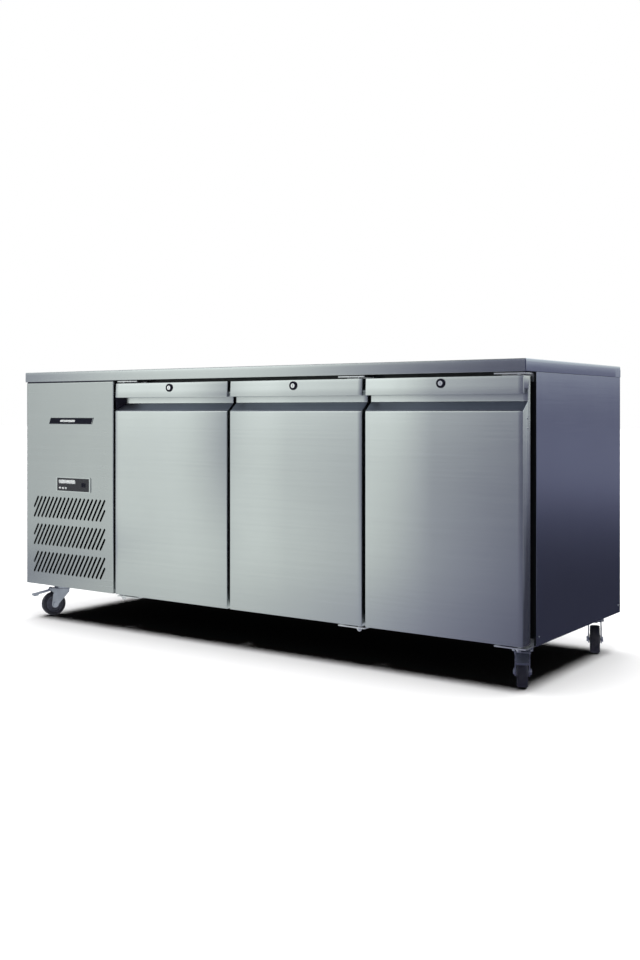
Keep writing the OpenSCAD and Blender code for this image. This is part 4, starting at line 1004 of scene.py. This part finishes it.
class MakeFrontTrim(bpy.types.Operator):
    """Makes the leaning badge with its blank light bar, and a pale strip on the controller's dark window that is a
    painted highlight
    """

    bl_idname = "fridge.front_trim"
    bl_label = "Badge and light bars"

    def execute(self, context):
        low, high = span("badge")
        lean, rim, edge = 9.0 * MM, 1.5 * MM, 0.4 * MM
        width, height = high[0] - low[0] - lean, high[2] - low[2]
        centre = (low + high)[[0, 2]] / 2
        front, back = low[1], high[1]
        shape = dished_plate(lambda inset: leaning_loop(centre, width, height, lean, inset),
                             [back, front + edge, front, front, front + 0.5 * MM],
                             [0.0, 0.0, edge, rim - 0.3 * MM, rim])
        plate = make_piece("badge_plate", shape, "badge_black", "cabinet", ["badge"])
        paint_where(plate, "bezel_metal", lambda at: at[:, 1] < front + 0.45 * MM)
        bar_centre = centre + np.array([-0.075 * width, 0.0])
        bar_size = (0.35 * width, 0.30 * height, 0.3 * lean)
        bar = dished_plate(lambda inset: leaning_loop(bar_centre, *bar_size, inset),
                           [back, front + 0.3 * MM, front + 0.1 * MM], [0.0, 0.0, 0.3 * MM])
        # A pale strip across the upper left of the controller's dark window: painted highlight.
        low, high = span("display_window")
        size = high - low
        start = np.array([low[0] + 0.05 * size[0], high[2] - 0.42 * size[2]])
        end = np.array([low[0] + 0.57 * size[0], high[2] - 0.14 * size[2]])
        strip = dished_plate(lambda inset: rounded_loop(start + inset, end - inset, MM, 4),
                             [low[1] + 0.5 * MM, low[1] - 0.05 * MM, low[1] - 0.2 * MM], [0.0, 0.0, 0.3 * MM])
        for name, shape in (("badge_light_bar", bar), ("display_light_bar", strip)):
            make_piece(name, shape, "pale_bar", "cabinet")
        return {"FINISHED"}


class MakeDoorDetails(bpy.types.Operator):
    """Makes the first grip's end cap, the screws in the last door's edge and the side panels' rivets"""

    bl_idname = "fridge.door_details"
    bl_label = "Door details"

    def execute(self, context):
        grip = context.scene.fridge_grip
        low, high = span("door_1_skin")
        strip = high[2] - grip.strip
        slope = strip - grip.mouth
        left, back = low[0] + 0.3 * MM, low[1] + grip.recess - 0.4 * MM
        face, reach = 1.2 * MM, 21.0 * MM
        lip = grip.lip + 0.8 * MM
        wedge = []
        for z, depth in ((slope + 0.12 * grip.slope, 4.0 * MM), (strip - 0.4 * MM, 0.8 * MM), (strip, lip),
                         (strip + grip.pocket - 0.6 * MM, lip)):
            front = min(low[1] + depth, back - MM)
            front_z = max(z, slope + (front - low[1]) / grip.recess * grip.slope + 0.3 * MM)
            back_z = max(z, slope + grip.slope + 0.2 * MM)
            wedge.append([(left, front, front_z), (left + face, front, front_z), (left + reach, back, back_z),
                          (left, back, back_z)])
        make_piece("door_1_grip_end", block(wedge), "black_plastic", "door_1",
                   bevel=0.5 * MM)
        low, high = span("door_3_skin")
        screws = []
        for number, drop in ((1, 108.5 * MM), (2, 133.0 * MM)):
            centre = (high[0], low[1] + 28.0 * MM, high[2] - drop)
            screws.append((f"door_3_edge_screw_{number}", centre, 1.0, 2.6, 1.0, "door_3"))
        low, high = span("side_panel_right")
        z = low[2] + 22.0 * MM
        for side, x, facing in (("right", high[0], 1.0), ("left", span("side_panel_left")[0][0], -1.0)):
            for number, y in ((1, high[1] - 16.0 * MM), (2, low[1] + 16.0 * MM)):
                screws.append((f"side_rivet_{side}_{number}", (x, y, z), facing, 2.4, 0.9, "cabinet"))
        for name, centre, facing, radius, height, body in screws:
            shape = screw_shape(centre, (facing, 0.0, 0.0), radius * MM, height * MM)
            make_piece(name, shape, "zinc_plate", body)
        return {"FINISHED"}


class MakeHingeNuts(bpy.types.Operator):
    """Turns the domed nuts under the lower hinge plates and lays the tape over the machine panel"""

    bl_idname = "fridge.hinge_nuts"
    bl_label = "Hinge nuts and tape"

    def execute(self, context):
        plates = span("hinge_brackets")[0][2]
        turn = quarter_turn(5)
        dome = np.stack([5.6 * MM * np.cos(turn), 5.0 * MM + 4.6 * MM * np.sin(turn)], axis=1)
        dome[-1, 0] = POLE
        washer, nut = 9.0 * MM, 6.6 * MM
        section = [(POLE, -0.5 * MM), (washer, -0.5 * MM), (washer, 1.2 * MM), (nut, 1.4 * MM),
                   (nut, 4.6 * MM)] + dome.tolist()
        for door in DOORS:
            x, y, _ = JOINTS[f"door_{door}_hinge"]["pos_m"]
            shape = turned(section, NUT_SIDES, (x, y, plates), (0.0, 0.0, -1.0), (1.0, 0.0, 0.0))
            make_piece(f"hinge_nut_{door}", shape, "hinge_zinc", "cabinet")
        low, high = span("machine_panel")
        worktop = span("worktop")[0][2]
        loop = rounded_loop((low[0] + 2.0 * MM, low[1] + 1.0 * MM), (high[0] - 1.0 * MM, low[1] + 14.0 * MM),
                            1.0 * MM, 3)
        heights = [high[2] + 0.02 * MM, worktop - 0.05 * MM]
        make_piece("panel_top_tape", block(lay_flat([loop, loop], heights)), "gasket_rubber", "cabinet",
                   bevel=0.2 * MM)
        return {"FINISHED"}


class MakeWheels(bpy.types.Operator):
    """Turns the four castor wheels: rubber tyres on plastic centres"""

    bl_idname = "fridge.wheels"
    bl_label = "Castor wheels"

    def execute(self, context):
        wheel = context.scene.fridge_wheel
        for castor in CASTORS:
            node = f"castor_{castor}_wheel"
            low, high = span(node)
            centre = (low + high) / 2
            axis = np.array(JOINTS[f"castor_{castor}_roll"]["axis"])
            piece = make_piece(f"castor_{castor}_tyre", wheel_shape(wheel, centre, axis),
                               "tyre_rubber", node, [node])
            paint_where(piece, "wheel_centre",
                        lambda at: np.linalg.norm(np.cross(at - centre, axis), axis=1) < wheel.rim - MM)
        return {"FINISHED"}


class FinishSteelwork(bpy.types.Operator):
    """Gives every remaining part its finish and rounds the sharp edges of its sheet and bar"""

    bl_idname = "fridge.steelwork"
    bl_label = "Remaining parts"

    def execute(self, context):
        # The front frame and the condenser coil are darkened to near black: painted shade in the gaps round the
        # doors and behind the panel's slots.
        dressed = {"hinge_brackets": "hinge_zinc", "front_frame": "frame_steel",
                   "condenser_coil": "condenser_black"}
        rounded = {
            "controller_housing": 0.6, "display_window": 0.25, "hinge_brackets": 0.6, "castor_plates": 0.7,
            "power_switch": 0.5, "key_set": 0.4, "key_up": 0.4, "key_down": 0.4, "side_panel_left": 0.3,
            "side_panel_right": 0.3, "terminal_box": 1.0, "unit_tray": 0.4, "evaporator_cover": 0.4,
            "drain_tray": 0.4, "base_panel": 0.3, "back_panel": 0.25, "inner_liner": 0.3,
        }
        for castor in CASTORS:
            rounded[f"castor_{castor}_fork"] = 0.7
        for castor in BRAKED:
            rounded[f"castor_{castor}_pedal"] = 0.6
        for node, part in frame["nodes"].items():
            if part.hide_render:
                continue
            part.data.materials.clear()
            part.data.materials.append(finish_named(dressed.get(node, SLOTS[node])))
            if node in rounded:
                weld = part.modifiers.new("Weld", "WELD")
                weld.merge_threshold = 0.01 * MM
                round_edges(part, rounded[node] * MM, angle=50.0)
        return {"FINISHED"}


class MakeStudio(bpy.types.Operator):
    """Sets the pale floor, the soft light and the camera"""

    bl_idname = "fridge.studio"
    bl_label = "Studio"

    def execute(self, context):
        studio = context.scene.fridge_studio
        scene = context.scene
        scene.view_settings.view_transform = "Standard"
        floor = flat_sheet("studio_floor", studio.reach, 0.0, floor_finish(studio.floor))
        mat = flat_sheet("studio_reflection", studio.reach, MM, reflection_finish())
        for kind in ("camera", "diffuse", "shadow", "transmission", "volume_scatter"):
            setattr(mat, f"visible_{kind}", False)
        lamp = soft_lamp("studio_key", (-0.2, 0.05, 4.0), 64.0, 5.4)
        camera = bpy.data.objects.new("studio_camera", bpy.data.cameras.new("studio_camera"))
        scene.collection.objects.link(camera)
        camera.location = studio.eye
        ahead = Vector((-math.sin(studio.azimuth), math.cos(studio.azimuth), 0.0))
        camera.rotation_mode = "QUATERNION"
        camera.rotation_quaternion = ahead.to_track_quat("-Z", "Y")
        camera.data.sensor_width = 36.0
        camera.data.lens = studio.lens
        camera.data.shift_x, camera.data.shift_y = studio.shift
        scene.camera = camera
        scene.world = studio_world()
        return {"FINISHED"}


# ---------------------------------------------------------------- studio

# Bearings and widths are in degrees; a bearing is 0 in front of the doors and turns to the left.
FRONT_BEARING, FRONT_WIDE, FRONT_LEVEL, FRONT_BASE = 42.5, 24.0, 0.76, 0.16
BACK_BEARING, BACK_WIDE, BACK_NARROW = 202.0, 60.0, 35.0
RIGHT_BEARING, RIGHT_WIDE, RIGHT_NARROW = 270.0, 48.0, 22.0
LEFT_BEARING, LEFT_WIDE, LEFT_NARROW = 90.0, 28.0, 12.0
SIDE_LEVEL, SIDE_FLOOR, CEILING_LEVEL = 0.55, 0.42, 0.85
MIRRORED_EYE = (2.096, 2.256, 0.0)  # the camera's place mirrored in the doors, on the floor
WHITE = (1.0, 1.0, 1.0)


def flat_sheet(name, reach, height, finish):
    """Flat square at a height above the floor."""
    mesh = bpy.data.meshes.new(name)
    corners = np.array([(-1.0, -1.0), (1.0, -1.0), (1.0, 1.0), (-1.0, 1.0)]) * reach
    mesh.from_pydata([(x, y, height) for x, y in corners], [], [(0, 1, 2, 3)])
    mesh.materials.append(finish)
    sheet = bpy.data.objects.new(name, mesh)
    bpy.context.scene.collection.objects.link(sheet)
    return sheet


def soft_lamp(name, place, spread, power):
    """Broad even light from far away towards the origin, not seen in reflections."""
    lamp = bpy.data.objects.new(name, bpy.data.lights.new(name, "SUN"))
    bpy.context.scene.collection.objects.link(lamp)
    lamp.data.angle = math.radians(spread)
    lamp.data.energy = power
    lamp.location = place
    lamp.rotation_mode = "QUATERNION"
    lamp.rotation_quaternion = (-Vector(place)).to_track_quat("-Z", "Y")
    lamp.visible_camera = False
    lamp.visible_glossy = False
    return lamp


def floor_finish(tint):
    """Matt painted floor with a faint texture."""
    finish = Finish("studio_floor")
    grain = finish.spread(finish.noise(220.0, 3.0), 0.0, 1.0)
    finish.set(Base_Color=finish.blend(grain, shade(tint, 0.99), shade(tint, 1.01)), Roughness=1.0,
               Specular_IOR_Level=0.0)
    return finish.material


class Glow(Nodes):
    """Builds the room's brightness, for the world and for the floor's reflection."""

    def vector(self, kind, first, second, output="Vector"):
        """Combines two vectors."""
        node = self.add("ShaderNodeVectorMath")
        node.operation = kind
        self.put(first, node.inputs[0])
        self.put(second, node.inputs[1])
        return node.outputs[output]

    def split(self, place):
        """X, Y and Z of a vector."""
        node = self.add("ShaderNodeSeparateXYZ")
        self.put(place, node.inputs["Vector"])
        return [node.outputs[axis] for axis in "XYZ"]

    def ramp(self, value, start, end, low, high):
        """Smooth step from one level to another."""
        return self.spread(value, low, high, start, end, smooth=True)

    def times(self, *levels):
        """Product of two or more levels."""
        product = levels[0]
        for level in levels[1:]:
            product = self.combine("MULTIPLY", product, level)
        return product

    def plus(self, first, second):
        """Sum of two levels."""
        return self.combine("ADD", first, second)

    def less(self, level):
        """What is left of 1 beside a level."""
        return self.combine("SUBTRACT", 1.0, level)

    def towards(self, direction, bearing, wide, narrow, level):
        """Level that rises smoothly from nothing at the wide angle round a bearing to full at the narrow."""
        level_ground = self.vector("MULTIPLY", direction, (1.0, 1.0, 0.0))
        flat = self.vector("NORMALIZE", level_ground, (0.0, 0.0, 0.0))
        turn = math.radians(bearing)
        share = self.vector("DOT_PRODUCT", flat, (-math.sin(turn), -math.cos(turn), 0.0), "Value")
        apart = self.combine("ARCCOSINE", self.combine("MINIMUM", share, 1.0), 0.0)
        return self.ramp(apart, math.radians(narrow), math.radians(wide), level, 0.0)

    def front(self, direction):
        """Bright wall at the front left, over an even base."""
        return self.plus(self.towards(direction, FRONT_BEARING, FRONT_WIDE, 0.0, FRONT_LEVEL), FRONT_BASE)

    def unlit(self, level):
        """Level only for light that has not met a matt surface."""
        met = self.combine("MINIMUM", self.add("ShaderNodeLightPath").outputs["Diffuse Depth"], 1.0)
        return self.times(level, self.less(met))

    def tinted(self, level):
        """Blue where the room is dim and nearly neutral where it is bright."""
        return self.blend(self.ramp(level, 0.03, 0.80, 0.0, 1.0), (0.62, 0.64, 1.0), (0.94, 1.0, 0.975))


def reflection_finish():
    """Glow of the floor seen only in reflections. In front it follows the bearing round the mirrored eye, as
    the wall's glow follows the bearing of the reflection. It is dim at the back right and even on each side,
    where the ends of the cabinet face."""
    finish = Finish("studio_reflection")
    glow = Glow(finish.tree)
    x, y, _ = glow.split(finish.place)
    corner = glow.times(glow.ramp(x, -1.75, -1.15, 0.42, 0.0), glow.ramp(y, -2.1, -1.2, 0.0, 1.0))
    near = glow.combine("SUBTRACT", glow.ramp(y, -1.7, -0.35, 1.0, 0.74), corner)
    front = glow.times(glow.front(glow.vector("SUBTRACT", finish.place, MIRRORED_EYE)), near)
    dark = glow.times(glow.ramp(x, 0.80, 1.05, 0.0, 1.0), glow.ramp(y, -0.9, -0.2, 0.0, 1.0))
    behind = glow.times(dark, glow.ramp(y, 1.0, 9.0, 0.06, 0.26))
    left = glow.times(glow.ramp(x, -3.0, -1.8, SIDE_FLOOR, 0.0), glow.ramp(y, -0.9, 0.0, 0.0, 1.0))
    beside = glow.times(glow.plus(glow.ramp(x, 1.8, 2.8, 0.0, SIDE_FLOOR), left),
                        glow.ramp(y, 1.0, 2.2, 1.0, 0.0), glow.ramp(y, -1.6, -0.9, 0.0, 1.0))
    brightness = glow.plus(glow.plus(glow.times(front, glow.less(dark)), behind), beside)
    finish.set(Base_Color=(0.0, 0.0, 0.0), Emission_Color=glow.tinted(brightness),
               Emission_Strength=glow.unlit(brightness), Roughness=1.0, Specular_IOR_Level=0.0)
    return finish.material


def studio_world():
    """White room. Reflections see a bright wall at the front left that falls away to the right, a dim one
    behind on the right, an even one on each side, and a bright ceiling behind."""
    world = bpy.data.worlds.new("studio_world")
    world.use_nodes = True
    world.cycles.sampling_method = "NONE"
    tree = world.node_tree
    tree.nodes.clear()
    glow = Glow(tree)

    def background(tint, strength):
        node = glow.add("ShaderNodeBackground")
        glow.put(tint, node.inputs["Color"])
        glow.put(strength, node.inputs["Strength"])
        return node.outputs["Background"]

    def choose(share, first, second):
        node = glow.add("ShaderNodeMixShader")
        for value, socket in zip((share, first, second), node.inputs):
            glow.put(value, socket)
        return node.outputs["Shader"]

    direction = glow.add("ShaderNodeTexCoord").outputs["Generated"]
    _, y, rise = glow.split(direction)
    back = glow.towards(direction, BACK_BEARING, BACK_WIDE, BACK_NARROW, 1.0)
    dim = glow.times(back, glow.ramp(rise, -0.005, 0.10, 0.22, 0.80))
    front = glow.times(glow.front(direction), glow.ramp(rise, 0.02, 0.14, 1.0, 1.55), glow.less(back))
    right = glow.towards(direction, RIGHT_BEARING, RIGHT_WIDE, RIGHT_NARROW, SIDE_LEVEL)
    left = glow.towards(direction, LEFT_BEARING, LEFT_WIDE, LEFT_NARROW, SIDE_LEVEL)
    sides = glow.times(glow.plus(right, left), glow.ramp(rise, -0.25, 0.35, 0.75, 1.0))
    ceiling = glow.times(glow.ramp(y, 0.02, 0.30, 0.0, 1.0), glow.ramp(rise, 0.25, 0.70, 0.0, CEILING_LEVEL))
    walls = glow.times(glow.plus(glow.plus(front, dim), sides), glow.ramp(rise, 0.55, 0.90, 1.0, 0.03))
    seen = glow.plus(walls, ceiling)
    rays = glow.add("ShaderNodeLightPath").outputs
    mirrored = choose(rays["Is Glossy Ray"], background(WHITE, 0.010),
                      background(glow.tinted(seen), glow.unlit(seen)))
    shown = choose(rays["Is Camera Ray"], mirrored, background(WHITE, 1.0))
    glow.put(shown, glow.add("ShaderNodeOutputWorld").inputs["Surface"])
    return world


# ---------------------------------------------------------------- panel and running

OPERATORS = (
    MakeWorktop, MakeDoorSkins, MakeDoorLiners, MakeGaskets, MakeLocks, MakeMachinePanel, MakeFrontTrim,
    MakeDoorDetails, MakeHingeNuts, MakeWheels, FinishSteelwork, MakeStudio,
)
SETTINGS = {
    "fridge_sheet": SheetSizes, "fridge_grip": GripSizes, "fridge_seal": SealSizes, "fridge_lock": LockSizes,
    "fridge_louvre": LouvreSizes, "fridge_wheel": WheelSizes, "fridge_finishes": Finishes,
    "fridge_studio": StudioSetup,
}


class FridgePanel(bpy.types.Panel):
    """Lists the pieces and the studio."""

    bl_idname = "FRIDGE_PT_pieces"
    bl_label = "Refrigerator"
    bl_space_type = "VIEW_3D"
    bl_region_type = "UI"
    bl_category = "Refrigerator"

    def draw(self, context):
        for operator in OPERATORS:
            self.layout.operator(operator.bl_idname)


def register():
    """Registers the settings, the operators and the panel."""
    for settings in SETTINGS.values():
        bpy.utils.register_class(settings)
    for operator in OPERATORS:
        bpy.utils.register_class(operator)
    bpy.utils.register_class(FridgePanel)
    for name, settings in SETTINGS.items():
        setattr(bpy.types.Scene, name, PointerProperty(type=settings))


def unregister():
    """Takes everything out again."""
    for name in SETTINGS:
        delattr(bpy.types.Scene, name)
    bpy.utils.unregister_class(FridgePanel)
    for operator in reversed(OPERATORS):
        bpy.utils.unregister_class(operator)
    for settings in reversed(list(SETTINGS.values())):
        bpy.utils.unregister_class(settings)


def main():
    """Makes every piece and the studio."""
    register()
    for operator in OPERATORS:
        group, name = operator.bl_idname.split(".")
        getattr(getattr(bpy.ops, group), name)()


if __name__ == "__main__":
    main()
